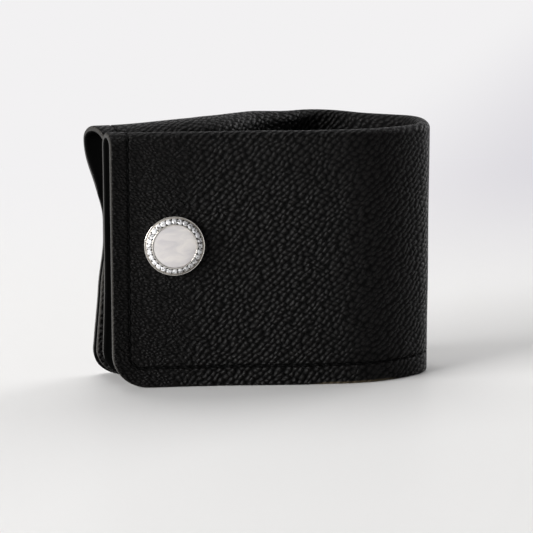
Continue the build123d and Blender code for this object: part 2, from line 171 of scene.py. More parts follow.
# Jewelled cap
RING_INNER_TOP = 1.55
RING_OUTER_TOP = 0.8
RING_LIP = 0.2              # width of the polished lip round the inlay
LIP_HEIGHT = 0.12           # the lip above the seat of the stones
LIP_TAPER = 0.02
SEAT_DROP = 0.08            # the seat's outer edge below the ring's own top
CAP_PLATE = 0.5
POST_RADIUS = 1.7
SEAT = 0.03
RIM_ROUNDING = 0.11
RING_ROUNDING = 0.05
CAP_SIDES = 128
INLAY_SIDES = 96
INLAY_DOME = 0.12
INLAY_WALL = 0.14           # the inlay's straight wall ends this far below its face
INLAY_BEVEL = 0.04
INLAY_POLE = 0.02           # share of the radius that is filled in last, at the back
CROWN_SHARES = (0.06, 0.97, 9)
STONE_LIFT = 0.02
STONE_TWIST = 2.1           # radians from stone to stone, so that no two catch the light alike
BEAD_ROW = 0.4              # share of a stone's width from its middle to the beads
SHARP = radians(35.0)       # edges of the cap that turn by more than this stay sharp
ONE_FACET = radians(2.0)    # faces of a stone that differ by less than this are one facet
ROUND_STEPS = 4
ROUND_SHARE = 0.45          # a rounded corner takes at most this share of each side
WELD = 0.0005               # turned points nearer than this are one

# Studio, in metres and watts: lamp, place, height that it is aimed at, size and power
LAMPS = (
    ("key_lamp", (-1.44, -0.55, 0.46), 0.02, (0.96, 0.96), 46.5),
    ("top_lamp", (-0.1, 0.3, 0.9), 0.03, (0.9, 0.6), 4.6),
    ("side_lamp", (1.23, 0.67, 0.38), 0.02, (0.8, 0.8), 15.5),
)
AIR_STRENGTH = 0.1
TABLE_SIZE = 3.0
TABLE_MIDDLE = -0.6
SWEEP_RADIUS = 0.4
SWEEP_STEPS = 12
BACK_HEIGHT = 1.6
LENS = 175.6                # millimetres, on a sensor 36 mm wide
SENSOR = 36.0
CLIP = (0.01, 20.0)
CAMERA_PLACE = (-51.0, -484.9, 136.2)   # millimetres from the plan's own origin; tilt and turn in degrees
CAMERA_TILT = 77.0
CAMERA_TURN = -6.0


def length(name, description, millimetres):
    """A length that a user may change, shown in scene units."""
    return FloatProperty(name=name, description=description, default=millimetres * MM, unit="LENGTH",
                         precision=5)


def colour(name, description, hex_code):
    """A colour that a user may change."""
    return FloatVectorProperty(name=name, description=description, default=linear(hex_code), size=4,
                               subtype="COLOR", min=0.0, max=1.0)


def linear(hex_code):
    """sRGB hex code to linear RGBA."""
    parts = [int(hex_code[i:i + 2], 16) / 255.0 for i in (1, 3, 5)]
    return tuple(c / 12.92 if c <= 0.04045 else ((c + 0.055) / 1.055) ** 2.4 for c in parts) + (1.0,)


class CuffBandSizes(bpy.types.PropertyGroup):
    """Sizes of the folded leather band."""
    height: length("Height", "Fold crest above the floor", 50.0)
    thickness: length("Leather", "Thickness of the lined leather", 1.25)
    corner: length("Front corner", "Radius of the front end's bottom corners", 6.9)
    back_corner: length("Back corner", "Radius of the back end's bottom corners", 6.0)
    puff: length("Back swelling", "How far the back fold swells outwards at its tip", 6.3)
    rise: length("Back rise", "How much higher the back fold stands in the middle of the back", 0.95)
    lean: length("Back lean", "How far the back fold leans outwards there", 2.4)
    edge: length("Edge rounding", "Radius of the burnished cut edges", 0.42)
    groove: length("Stitch groove", "Depth of the groove that the stitches lie in", 0.2)
    waviness: length("Waviness", "Soft unevenness of the leather", 0.09)


class CuffStitchSizes(bpy.types.PropertyGroup):
    """Sizes of the sewing."""
    pitch: length("Pitch", "Distance from stitch to stitch", 2.1)
    run: length("Stitch", "Length of one stitch on the face", 1.3)
    thread: length("Thread", "Diameter of the waxed thread", 0.38)
    sunk: length("Sunk", "Depth of the thread's middle below the leather face", 0.12)


class CuffCapSizes(bpy.types.PropertyGroup):
    """Sizes of the jewelled cap."""
    diameter: length("Cap", "Outer diameter of the cap", 11.6)
    rim: length("Rim", "Thickness of the turned-up rim", 0.2)
    rim_height: length("Rim height", "Rim above the leather", 0.85)
    inlay: length("Inlay", "Diameter of the pale inlay", 8.3)
    inlay_top: length("Inlay face", "Inlay face above the leather", 1.45)
    stones: IntProperty(name="Stones", description="Stones round the ring", default=28, min=6, max=60)
    stone: length("Stone", "Diameter of one stone", 1.1)
    bead: length("Bead", "Diameter of one setting bead", 0.31)


class CuffColours(bpy.types.PropertyGroup):
    """Colours of the finishes and of the studio."""
    leather: colour("Leather", "Dyed grain", "#0E0D0D")
    # Painted highlight: the paler colour on the tops of the grain
    painted_highlight: colour("Rubbed tops", "Tops of the grain where the dye is rubbed", "#1E1D1C")
    # Painted shade in the creases of the grain and in the stitch groove; also the dark fibres of the cut edge
    crease: colour("Creases", "Dye between the tops", "#010101")
    edge: colour("Cut edge", "Burnished edge dressing", "#312F2C")
    # Painted light from the floor on a stretch of the bottom edge
    floor_light_on_edge: colour("Raw edge", "Stretch of the bottom edge whose dye has worn off", "#5E5443")
    lining: colour("Lining", "Smooth lining leather", "#040404")
    thread: colour("Thread", "Waxed sewing thread", "#030303")
    metal: colour("Cap metal", "Polished plated metal", "#E6E2DC")
    # Painted shade: the dark colour of the beads stands for the shade in the pits beside the stones
    pits: colour("Pits", "Oxidised pits beside the stones", "#1C1916")
    seat: colour("Stone seat", "Blasted seat of the stones", "#B8B2AA")
    snap: colour("Snap metal", "Nickel-plated brass of the snap", "#B9B5AE")
    wire: colour("Spring wire", "Hard-drawn wire of the socket's spring", "#8E8B86")
    inlay: colour("Inlay", "Mother-of-pearl disc", "#E0DBD7")
    cloud: colour("Inlay clouds", "Darker clouds of the inlay", "#C9C5C6")
    # Painted reflections: the near-white stone colour and the dark patches that stand for facets showing the
    # seat
    stone: colour("Stone", "Clear cut stones", "#F8F8FA")
    facet: colour("Dark facets", "Facets that look down on the seat", "#6A6663")
    floor: colour("Floor", "Pale coated table", "#DDDCDB")
    backdrop: colour("Backdrop", "Lit side of the backdrop", "#F2F1F2")
    # Painted shade: the backdrop's glow darkens to this colour towards the right
    backdrop_shade: colour("Backdrop shade", "Far side of the backdrop", "#DCDADF")
    air: colour("Studio air", "Even light from all round", "#F3F4F8")


def smooth(t):
    """Smooth step from 0 to 1."""
    t = min(1.0, max(0.0, t))
    return t * t * (3.0 - 2.0 * t)


def fade(t, reach):
    """1 at a free end, 0 from `reach` on."""
    return 1.0 - smooth(t / reach)


def arc_run(radius, turn):
    """A run of the plan as (length, turn in degrees)."""
    return (radius * radians(abs(turn)), turn)


def walk(point, heading, run, distance):
    """Point and heading after some distance along one run."""
    turn = radians(run[1]) * distance / run[0]
    if abs(turn) < 1e-9:
        return (point[0] + distance * cos(heading), point[1] + distance * sin(heading)), heading
    radius = distance / turn
    x = point[0] + radius * (sin(heading + turn) - sin(heading))
    y = point[1] - radius * (cos(heading + turn) - cos(heading))
    return (x, y), heading + turn


def plan_runs():
    """All runs of the outer plan; the two straight back runs are solved so that the ends meet."""
    before = [
        (TIP_LENGTH, -TIP_CURL),
        (FRONT_FLAT, 0.0),
        (SHOULDER_LENGTH, SHOULDER_TURN),
        arc_run(SIDE_RADIUS, SIDE_TURN),
    ]
    crown = arc_run(CROWN_RADIUS, CROWN_TURN)
    after = [
        arc_run(NECK_RADIUS, NECK_TURN),
        (CLOSED_LENGTH, 0.0),
        ((TIP_LENGTH / radians(TIP_CURL) + STACK) * radians(TIP_CURL), TIP_CURL),
    ]
    point, heading = START, radians(TIP_CURL)
    for run in before:
        point, heading = walk(point, heading, run, run[0])
    first = heading
    point, heading = walk(point, heading, crown, crown[0])
    second = heading
    for run in after:
        point, heading = walk(point, heading, run, run[0])
    aim = (START[0] - STACK * sin(radians(TIP_CURL)), START[1] + STACK * cos(radians(TIP_CURL)))
    dx, dy = aim[0] - point[0], aim[1] - point[1]
    across = cos(first) * sin(second) - sin(first) * cos(second)
    slant = (dx * sin(second) - dy * cos(second)) / across
    descent = (cos(first) * dy - sin(first) * dx) / across
    return before + [(slant, 0.0), crown, (descent, 0.0)] + after


CURL_DROP = TIP_LENGTH / radians(TIP_CURL) * (1.0 - cos(radians(TIP_CURL)))
START = (FRONT_TIP_X, -CURL_DROP)
RUNS = plan_runs()
RUN_ENDS = [sum(run[0] for run in RUNS[:i + 1]) for i in range(len(RUNS))]
TOTAL = RUN_ENDS[-1]


def plan(s):
    """Point and heading of the outer face at length s from the front tip."""
    point, heading = START, radians(TIP_CURL)
    for run in RUNS:
        step = min(s, run[0])
        point, heading = walk(point, heading, run, step)
        s -= step
        if s <= 0.0:
            break
    return point, heading


# From the plan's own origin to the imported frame, where the snap's axis is known
TO_FRAME = Vector((SNAP.x / MM - plan(SNAP_FROM_TIP)[0][0], SNAP.y / MM, 0.0))


def back_rise(s):
    """Share of the back fold's rise and lean at length s."""
    back = TOTAL - s
    if s < TOTAL / 2.0:
        return 0.0
    begin = smooth((back - RISE_FROM) / (RISE_FULL - RISE_FROM))
    ease = 1.0 - EASE_SHARE * smooth((back - EASE_FROM) / (EASE_TO - EASE_FROM))
    return begin * ease * (1.0 - smooth((back - RISE_END_FROM) / (RISE_END - RISE_END_FROM)))


def end_waver(s, z, inner):
    """How far the soft back end draws back from its straight cut; inner runs 0 to 1 over the fold."""
    back = TOTAL - s
    if back > WAVER_REACH:
        return 0.0
    drawn = WAVER_FOOT
    for amount, begin, over in WAVER_STEPS + ((WAVER_INNER[0] * inner,) + WAVER_INNER[1:],):
        drawn += amount * smooth((z - begin) / over)
    return drawn * fade(back, WAVER_REACH)


def front_bulge(s):
    """How far the soft front wall swells forwards beside the snap."""
    return BULGE * smooth((s - BULGE_FROM) / BULGE_RISE) * (1.0 - smooth((s - BULGE_TO) / BULGE_FALL))


def spread(s, puff):
    """Fold swelling and shifts of the layers at length s: (puff, middle, top, inner low, outer low)."""
    back = TOTAL - s
    if s < TOTAL / 2.0:
        low = SPLAY_BOTTOM * fade(s, BOTTOM_REACH)
        part = FRONT_PART * fade(s, TIP_REACH)
        return (0.0, SPLAY_MID * fade(s, SPLAY_REACH) + part, SPLAY_TOP * fade(s, SPLAY_REACH) + part,
                low + part, 0.0)
    low = SPLAY_BOTTOM * fade(back, BOTTOM_REACH)
    swell = puff * (1.0 - smooth((back - PUFF_FULL) / (PUFF_REACH - PUFF_FULL)))
    return swell, 0.0, 0.0, -low, low + SPLAY_BACK * fade(back, BOTTOM_REACH)


class Panel:
    """The flat leather panel and the way that it is folded and bent, in millimetres."""

    def __init__(self, sizes):
        self.height = sizes.height / MM
        self.corner = sizes.corner / MM
        self.back_corner = sizes.back_corner / MM
        self.puff = sizes.puff / MM
        self.rise = sizes.rise / MM
        self.lean = sizes.lean / MM

    def corner_at(self, s):
        """Corner radius of the end that is nearer to length s."""
        return self.corner if s < TOTAL / 2.0 else self.back_corner

    def bottom(self, s):
        """Height of the cut bottom edge at length s, with the rounded corners."""
        r = self.corner_at(s)
        reach = r - min(s, TOTAL - s, r)
        return r - sqrt(r ** 2 - reach ** 2)

    def fold(self, s):
        """Half width, rise, middle and crest height of the fold at length s."""
        puff, _, top, _, _ = spread(s, self.puff)
        half = (puff + STRAP + top) / 2.0
        rise = half * (1.0 - PUFF_FLATTEN * puff / self.puff)
        risen = back_rise(s)
        middle = (puff - STRAP - top) / 2.0 + self.lean * risen
        return half, rise, middle, self.height + self.rise * risen

    def outline(self, s, u):
        """The section at s as (distance outwards, height); u runs 0 to 1 over the fold."""
        puff, mid, top, inner_low, outer_low = spread(s, self.puff)
        half, rise, middle, crest = self.fold(s)
        spring = crest - rise
        if LEG_SHARE < u < 1.0 - LEG_SHARE:
            angle = pi * (u - LEG_SHARE) / (1.0 - 2.0 * LEG_SHARE)
            return middle + half * cos(angle), spring + rise * sin(angle)
        share = min(u, 1.0 - u) / LEG_SHARE
        foot = self.bottom(s)
        z = foot + (spring - foot) * share
        low = max(0.0, 1.0 - z / SNAP_HEIGHT) ** 2
        begin = PUFF_FROM * self.height
        up = smooth((z - begin) / (spring - begin))
        lean = self.lean * back_rise(s) * smooth((z - LEAN_HEIGHT) / (spring - LEAN_HEIGHT))
        if u <= LEG_SHARE:
            return lean + puff * up + outer_low * low, z
        return lean - (STRAP + mid + (top - mid) * up + (inner_low - mid) * low), z

    def face(self, s, u):
        """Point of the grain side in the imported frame, in millimetres."""
        n, z = self.outline(s, u)
        inner = smooth((u - LEG_SHARE) / (1.0 - 2.0 * LEG_SHARE))
        drawn = end_waver(s, z, inner)
        n += front_bulge(s)
        (x, y), heading = plan(min(s, TOTAL))
        if s > TOTAL / 2.0:
            n += BACK_PART * fade(TOTAL - s, TIP_REACH)
        along = Vector((cos(heading), sin(heading), 0.0))
        return Vector((x + n * sin(heading), y - n * cos(heading), z)) - along * drawn + TO_FRAME

    def outwards(self, s, u):
        """Direction that the grain side faces."""
        step = 1e-3
        along = self.face(min(TOTAL, s + step), u) - self.face(max(0.0, s - step), u)
        over = self.face(s, min(1.0, u + step)) - self.face(s, max(0.0, u - step))
        return along.cross(over).normalized()

    def height_share(self, s, z, inner):
        """Outline share of a height on one leg."""
        _, rise, _, crest = self.fold(s)
        foot = self.bottom(s)
        share = LEG_SHARE * (z - foot) / (crest - rise - foot)
        return 1.0 - share if inner else share


def from_stitch_line(s, z):
    """Distance in the panel's own plane from the stitch line of one leg."""
    s = min(s, TOTAL - s)
    slope = Vector((STITCH_FROM_END - STITCH_TURN, STITCH_TURN_UP - STITCH_FROM_BOTTOM))
    at = Vector((s - STITCH_TURN, z - STITCH_FROM_BOTTOM))
    share = min(1.0, max(0.0, at.dot(slope) / slope.length_squared))
    near = (at - slope * share).length
    if s >= STITCH_TURN:
        near = min(near, abs(z - STITCH_FROM_BOTTOM))
    if z >= STITCH_TURN_UP:
        near = min(near, abs(s - STITCH_FROM_END))
    return near


def from_cut_edge(s, z, panel):
    """Distance in the panel's own plane from its cut edge."""
    r = panel.corner_at(s)
    s = min(s, TOTAL - s)
    if s < r and z < r:
        return max(0.0, r - hypot(r - s, r - z))
    return max(0.0, min(s, z))


def end_columns(corner):
    """Distances of the grid's columns from a cut end: close at the corner and at the stitch line."""
    turned = [corner * (1.0 - cos(radians(angle))) for angle in range(0, 90, CORNER_STEP)]
    places = sorted(turned + [STITCH_FROM_END + step for step in STITCH_COLUMNS])
    return [s for i, s in enumerate(places) if i == 0 or s - places[i - 1] > CLOSEST]


def columns(panel):
    """Lengths of the grid's columns: close at the cut ends, at the stitch line and in the bends."""
    inner = [panel.corner]
    for goal in (SIDE_FROM, SIDE_TO, TOTAL - panel.back_corner):
        begin = inner[-1]
        count = max(2, int(round((goal - begin) / (BEND_COLUMN if goal == SIDE_TO else COLUMN))))
        inner += [begin + (goal - begin) * (i + 1) / count for i in range(count)]
    return end_columns(panel.corner) + inner + [TOTAL - s for s in reversed(end_columns(panel.back_corner))]


def rows():
    """Outline shares of the grid's rows: close at the cut edge, at the stitch line and over the fold."""
    last = LOW_ROWS[-1]
    heights = list(LOW_ROWS) + [last + (LEG_HEIGHT - last) * (i + 1) / LEG_ROWS for i in range(LEG_ROWS)]
    climb = [LEG_SHARE * z / LEG_HEIGHT for z in heights]
    fold = [LEG_SHARE + (1.0 - 2.0 * LEG_SHARE) * i / FOLD_ROWS for i in range(1, FOLD_ROWS)]
    return climb + fold + [1.0 - u for u in reversed(climb)]


def editing(kind, action):
    """Opens the active piece for editing by its vertices, edges or faces, with all of it selected or none."""
    bpy.ops.object.mode_set(mode="EDIT")
    bpy.ops.mesh.select_mode(type=kind)
    bpy.ops.mesh.select_all(action=action)


def only(*objects):
    """Selects these objects and nothing else; the first is the active one."""
    bpy.ops.object.select_all(action="DESELECT")
    for obj in objects:
        obj.select_set(True)
    bpy.context.view_layer.objects.active = objects[0]


def added(name):
    """Names the primitive that was just added."""
    obj = bpy.context.active_object
    obj.name = name
    obj.data.name = name
    return obj


def applied(obj, kind, **settings):
    """Puts a modifier on a piece and applies it."""
    only(obj)
    modifier = obj.modifiers.new(kind.title(), kind)
    for key, value in settings.items():
        setattr(modifier, key, value)
    bpy.ops.object.modifier_apply(modifier=modifier.name)


def placed(obj, matrix):
    """Moves a piece by a matrix and keeps its object at the origin."""
    obj.data.transform(matrix)
    obj.data.update()


def add_node(tree, kind, inputs=None, **settings):
    """Adds a node; an input is a value, a socket, or a node whose first live output is linked."""
    node = tree.nodes.new("ShaderNode" + kind)
    for key, value in settings.items():
        setattr(node, key, value)
    for key, value in (inputs or {}).items():
        if isinstance(value, bpy.types.Node):
            value = next(socket for socket in value.outputs if socket.enabled)
        if isinstance(value, bpy.types.NodeSocket):
            tree.links.new(value, node.inputs[key])
        else:
            node.inputs[key].default_value = value
    return node


def finished(name, shader_of, *details):
    """A material under its real name; the function that is given adds the nodes and returns their shader."""
    material = bpy.data.materials.new(name)
    material.use_nodes = True
    tree = material.node_tree
    tree.nodes.clear()
    add_node(tree, "OutputMaterial", {"Surface": shader_of(tree, *details)})
    return material


def skewed(tree, vector, first, second):
    """A flat vector after a linear map, given as the two rows of its matrix."""
    x, y = [add_node(tree, "VectorMath", {0: vector, 1: row + (0.0,)}, operation="DOT_PRODUCT")
            for row in (first, second)]
    return add_node(tree, "CombineXYZ", {"X": x, "Y": y})


# Settings that many nodes share
EASED = {"interpolation_type": "SMOOTHSTEP"}
FLAT = {"noise_dimensions": "2D"}
TONE = {"data_type": "RGBA"}
FALLING = {"To Min": 1.0, "To Max": 0.0}

# Pebbles of the grain: turn of their rows in degrees, spacing along and across the rows, half length, half
# width and looseness. Long slanting pebbles lie all over, and a finer grain at the pressed front end.
SLANTING = (43.0, 1.1, 1.02, 0.82, 0.5, 0.42)
PRESSED = (8.0, 0.85, 0.6, 0.5, 0.34, 0.7)


def grained_leather(tree, colours):
    """Drum-dyed calf, embossed with a slanting pebble grain and lightly plated.

    The eye sees small long pebbles in slanting rows. Their tops carry a painted highlight, paler on some
    pebbles than others at random, and the black round them is painted shade. They are finer and shallower at
    the pressed front end and flatter over the bend and the fold. The cut edges are burnished grey, and one
    stretch of the bottom edge is painted paler tan, as painted light from the floor.
    """
    panel = add_node(tree, "UVMap", uv_map="panel_mm")
    edge = add_node(tree, "Attribute", attribute_name="edge_mm").outputs["Fac"]
    seam = add_node(tree, "Attribute", attribute_name="seam_mm").outputs["Fac"]
    split = add_node(tree, "SeparateXYZ", {0: panel})
    # The grain wanders by half a millimetre over about 4 mm.
    drift = add_node(tree, "TexNoise", {"Vector": panel, "Scale": 0.25, "Detail": 2.0}, **FLAT)
    drift = drift.outputs["Color"]
    drift = add_node(tree, "VectorMath", {0: drift, 1: (0.5, 0.5, 0.5)}, operation="SUBTRACT")
    wander = add_node(tree, "VectorMath", {0: drift, 1: (1.2, 1.2, 0.0), 2: panel}, operation="MULTIPLY_ADD")
    # Distance from the middle of a pebble, 1 at its rim, and a colour of its own. Each row is staggered by
    # half a step.
    lies = []
    for turn, along, across, long, wide, loose in (SLANTING, PRESSED):
        c, s = cos(radians(turn)), sin(radians(turn))
        spaced = skewed(tree, wander, (c / along - 0.5 * s / across, s / along + 0.5 * c / across),
                        (-s / across, c / across))
        cells = add_node(tree, "TexVoronoi", {"Vector": spaced, "Scale": 1.0, "Randomness": loose},
                         voronoi_dimensions="2D", feature="F1")
        off = add_node(tree, "VectorMath", {0: spaced, 1: cells.outputs["Position"]}, operation="SUBTRACT")
        drawn = skewed(tree, off, (along / long, -0.5 * along / long), (0.0, across / wide))
        lies.append((add_node(tree, "VectorMath", {0: drawn}, operation="LENGTH"), cells.outputs["Color"]))
    (slanting, colour_of), (fine, _) = lies
    away = add_node(tree, "MapRange", {"Value": split.outputs["X"], "From Min": 5.0, "From Max": 21.0},
                    **EASED)
    reach = add_node(tree, "Mix", {"Factor": away, "A": fine, "B": slanting}, data_type="FLOAT")
    dome = add_node(tree, "MapRange", {"Value": reach, "From Max": 1.25} | FALLING, **EASED)
    pressed = add_node(tree, "MapRange", {"Value": away, "To Min": 0.6, "To Max": 1.0})
    # Bend, fold and the stretch of the edge with painted floor light: axis, middle, full this near, gone this
    # far, and both values
    near = []
    for run, middle, full, gone_by, at, past in (("X", BEND_MIDDLE, 14.0, 28.0, 0.55, 1.0),
                                                 ("Y", 0.0, 5.0, 18.0, 0.6, 1.0),
                                                 ("X", FLOOR_LIT_MIDDLE, 5.5, 10.0, 1.0, 0.0)):
        off = add_node(tree, "Math", {0: split.outputs[run], 1: middle}, operation="SUBTRACT")
        off = add_node(tree, "Math", {0: off}, operation="ABSOLUTE")
        near.append(add_node(tree, "MapRange", {"Value": off, "From Min": full, "From Max": gone_by,
                                                "To Min": at, "To Max": past}, **EASED))
    bend, fold, floor_light_on_edge = near
    # The thread pulls the grain flat for a third of a millimetre beside it.
    pulled = add_node(tree, "MapRange", {"Value": seam, "From Min": 0.1, "From Max": 0.36}, **EASED)
    relief = dome
    for share in (pressed, bend, fold, pulled):
        relief = add_node(tree, "Math", {0: relief, 1: share}, operation="MULTIPLY")
    # Fine pores, about 0.15 mm
    pores = add_node(tree, "TexNoise", {"Vector": panel, "Scale": 6.5, "Detail": 2.0}, **FLAT)
    height = add_node(tree, "Math", {0: pores, 1: 0.2, 2: relief}, operation="MULTIPLY_ADD")
    bump = add_node(tree, "Bump", {"Strength": 1.0, "Distance": 0.4 * MM, "Height": height})
    # Painted shade: black pits between the pebbles, shallower at the pressed front end. Painted highlight:
    # paler tops, brighter on some pebbles than others at random.
    shallow = add_node(tree, "MapRange", {"Value": away, "To Min": 0.6, "To Max": 0.0})
    painted_crease_shade = add_node(tree, "MapRange", {"Value": reach, "From Min": 0.6, "From Max": 1.05, "To Min": 1.0,
                                        "To Max": shallow}, **EASED)
    top = add_node(tree, "MapRange", {"Value": reach, "From Min": 0.1, "From Max": 0.7} | FALLING, **EASED)
    own = add_node(tree, "SeparateColor", {"Color": colour_of})
    own = add_node(tree, "MapRange", {"Value": own, "To Min": 0.3, "To Max": 1.0})
    # worn is the share of painted highlight on each top, varied at random from pebble to pebble; dye carries
    # the painted crease shade and the painted highlights
    worn = add_node(tree, "Math", {0: top, 1: own}, operation="MULTIPLY")
    dye = add_node(tree, "Mix", {"Factor": painted_crease_shade, "A": colours.crease, "B": colours.leather}, **TONE)
    dye = add_node(tree, "Mix", {"Factor": worn, "A": dye, "B": colours.painted_highlight}, **TONE)
    # Painted shade in the groove of the sewing, a third of a millimetre to each side.
    groove_shade_mask = add_node(tree, "MapRange", {"Value": seam, "From Min": 0.12, "From Max": 0.4}, **EASED)
    dye = add_node(tree, "Mix", {"Factor": groove_shade_mask, "A": colours.crease, "B": dye}, **TONE)
    # The burnish on the cut edge is 0.2 mm wide, and 0.7 mm where it is painted paler tan, as painted light
    # from the floor.
    wide = add_node(tree, "MapRange", {"Value": floor_light_on_edge, "To Min": 0.2, "To Max": 0.7})
    burnish = add_node(tree, "MapRange", {"Value": edge, "From Min": 0.05, "From Max": wide} | FALLING,
                       **EASED)
    cut = add_node(tree, "Mix", {"Factor": floor_light_on_edge, "A": colours.edge, "B": colours.floor_light_on_edge}, **TONE)
    tone = add_node(tree, "Mix", {"Factor": burnish, "A": dye, "B": cut}, **TONE)
    # Patches about 6 mm across where the plating lies flatter, and dull creases
    patch = add_node(tree, "TexNoise", {"Vector": panel, "Scale": 0.16, "Detail": 2.0}, **FLAT)
    lit = add_node(tree, "Math", {0: dome, 1: pulled}, operation="MULTIPLY")
    dull = add_node(tree, "MapRange", {"Value": lit, "To Min": 0.58, "To Max": 0.18})
    rough = add_node(tree, "Math", {0: patch, 1: 0.12, 2: dull}, operation="MULTIPLY_ADD")
    return add_node(tree, "BsdfPrincipled", {"Base Color": tone, "Roughness": rough, "Normal": bump,
                                             "IOR": 1.5, "Specular IOR Level": 0.075})


def lining_leather(tree, colours):
    """Thin smooth lining leather: dull, with fine pores about 0.3 mm apart."""
    panel = add_node(tree, "UVMap", uv_map="panel_mm")
    pores = add_node(tree, "TexNoise", {"Vector": panel, "Scale": 3.3, "Detail": 3.0}, **FLAT)
    bump = add_node(tree, "Bump", {"Strength": 0.4, "Distance": 0.05 * MM, "Height": pores})
    rough = add_node(tree, "MapRange", {"Value": pores, "To Min": 0.65, "To Max": 0.85})
    return add_node(tree, "BsdfPrincipled", {"Base Color": colours.lining, "Roughness": rough, "Normal": bump,
                                             "IOR": 1.5, "Specular IOR Level": 0.04})


def cut_edge(tree, colours):
    """Cut edge of the leather, dressed and burnished: grey, satin, with fibre clumps about 0.5 mm long."""
    panel = add_node(tree, "UVMap", uv_map="panel_mm")
    fibre = add_node(tree, "TexNoise", {"Vector": panel, "Scale": 2.0, "Detail": 4.0}, **FLAT)
    tone = add_node(tree, "Mix", {"Factor": fibre, "A": colours.crease, "B": colours.edge}, **TONE)
    bump = add_node(tree, "Bump", {"Strength": 0.5, "Distance": 0.05 * MM, "Height": fibre})
    return add_node(tree, "BsdfPrincipled", {"Base Color": tone, "Roughness": 0.42, "Normal": bump,
                                             "IOR": 1.5, "Specular IOR Level": 0.3})


def waxed_thread(tree, colours):
    """Waxed black thread: a dull waxy shine on two twisted plies, which cross it about every 0.35 mm."""
    place = add_node(tree, "TexCoord").outputs["Object"]
    plies = add_node(tree, "TexWave", {"Vector": place, "Scale": 1.0 / (0.35 * MM) / 6.0, "Distortion": 1.5},
                     wave_type="BANDS", bands_direction="DIAGONAL").outputs["Fac"]
    bump = add_node(tree, "Bump", {"Strength": 0.5, "Distance": 0.05 * MM, "Height": plies})
    rough = add_node(tree, "MapRange", {"Value": plies, "To Min": 0.5, "To Max": 0.65})
    return add_node(tree, "BsdfPrincipled", {"Base Color": colours.thread, "Roughness": rough, "Normal": bump,
                                             "IOR": 1.5, "Specular IOR Level": 0.06})


# Metals whose pattern is fine marks in the gloss: colour, size of a mark in millimetres, detail, share of the
# pattern that is used, roughness from and to, and the shader's other values
MARKED_METALS = {
    # Rhodium-plated cap: polished, with the faint wipe marks that handling leaves
    "rhodium_plated_metal": ("metal", 0.4, 3.0, (0.3, 0.7), (0.08, 0.2), {"Metallic": 1.0}),
    # Painted shade: the beads are dark and dull, standing in for the shade in their drilled pits, so that the
    # stones stand apart
    "pit_shade_beads": ("pits", 0.3, 2.0, (0.0, 1.0), (0.4, 0.6), {"IOR": 1.5, "Specular IOR Level": 0.3}),
    # Bead-blasted seat of the stone ring: the cap's metal with a satin face that doesn't glare
    "blasted_plated_metal": ("seat", 0.12, 2.0, (0.0, 1.0), (0.45, 0.65), {"Metallic": 0.6}),
    # Nickel-plated pressed brass of the working snap: bright, with fine turning marks
    "nickel_plated_brass": ("snap", 0.25, 2.0, (0.0, 1.0), (0.18, 0.36), {"Metallic": 1.0}),
    # Hard-drawn spring wire: darker than the plated snap, satin from drawing
    "drawn_spring_wire": ("wire", 0.1, 2.0, (0.0, 1.0), (0.25, 0.45), {"Metallic": 1.0}),
}


def marked_metal(tree, colours, name):
    """One of the metals of the table: an even colour whose gloss varies with its marks."""
    tone, across, detail, used, rough, rest = MARKED_METALS[name]
    place = add_node(tree, "TexCoord").outputs["Object"]
    marks = add_node(tree, "TexNoise", {"Vector": place, "Scale": 1.0 / (across * MM), "Detail": detail})
    gloss = add_node(tree, "MapRange", {"Value": marks, "From Min": used[0], "From Max": used[1],
                                        "To Min": rough[0], "To Max": rough[1]})
    return add_node(tree, "BsdfPrincipled", {"Base Color": getattr(colours, tone), "Roughness": gloss} | rest)


def pearl_inlay(tree, colours):
    """Polished mother-of-pearl: pale, with soft warm and cool clouds under a clear gloss."""
    place = add_node(tree, "TexCoord").outputs["Object"]
    # Clouds about 2.5 mm across, drawn out along one direction
    drawn = add_node(tree, "Mapping", {"Vector": place, "Scale": (0.7, 1.0, 1.5),
                                       "Rotation": (0.0, radians(35.0), 0.0)})
    clouds = add_node(tree, "TexNoise", {"Vector": drawn, "Scale": 1.0 / (2.5 * MM), "Detail": 3.0,
                                         "Distortion": 0.6})
    ramp = add_node(tree, "ValToRGB", {"Fac": clouds})
    for stop, at, tone in zip(ramp.color_ramp.elements, (0.32, 0.68), (colours.cloud, colours.inlay)):
        stop.position, stop.color = at, tone
    rough = add_node(tree, "MapRange", {"Value": clouds, "To Min": 0.25, "To Max": 0.4})
    return add_node(tree, "BsdfPrincipled", {"Base Color": ramp, "Roughness": rough, "IOR": 1.53,
                                             "Coat Weight": 0.6, "Coat Roughness": 0.08})


def cut_stone(tree, colours):
    """Cubic zirconia, cut and polished: clear, with painted reflections in hard bright and dark patches."""
    place = add_node(tree, "TexCoord").outputs["Object"]
    # Faint inner veils, about 0.2 mm across
    veil = add_node(tree, "TexNoise", {"Vector": place, "Scale": 1.0 / (0.2 * MM)})
    rough = add_node(tree, "MapRange", {"Value": veil, "To Min": 0.0, "To Max": 0.04})
    # Painted reflections: patches about 0.27 mm across, a quarter of them dark for the seat that the facets
    # show
    facets = add_node(tree, "TexVoronoi", {"Vector": place, "Scale": 1.0 / (0.27 * MM)}).outputs["Color"]
    own = add_node(tree, "SeparateColor", {"Color": facets})
    painted_bright_share = add_node(tree, "MapRange", {"Value": own, "From Min": 0.12, "From Max": 0.4})
    tone = add_node(tree, "Mix", {"Factor": painted_bright_share, "A": colours.facet, "B": colours.stone}, **TONE)
    return add_node(tree, "BsdfPrincipled", {"Base Color": tone, "Roughness": rough, "IOR": 2.16,
                                             "Transmission Weight": 0.2})


def read_back(items, key, width, kind=np.float32):
    """One row of numbers for each item of a mesh."""
    values = np.zeros((len(items), width) if width > 1 else len(items), kind)
    items.foreach_get(key, values.ravel())
    return values


def over_length(panel, s, shares):
    """Distance over the fold of each row at length s, from the crest, minus on the outer leg."""
    points = [panel.outline(s, u) for u in shares]
    run = [0.0]
    for a, b in zip(points, points[1:]):
        run.append(run[-1] + hypot(b[0] - a[0], b[1] - a[1]))
    crest = run[len(run) // 2]
    return [d - crest for d in run]


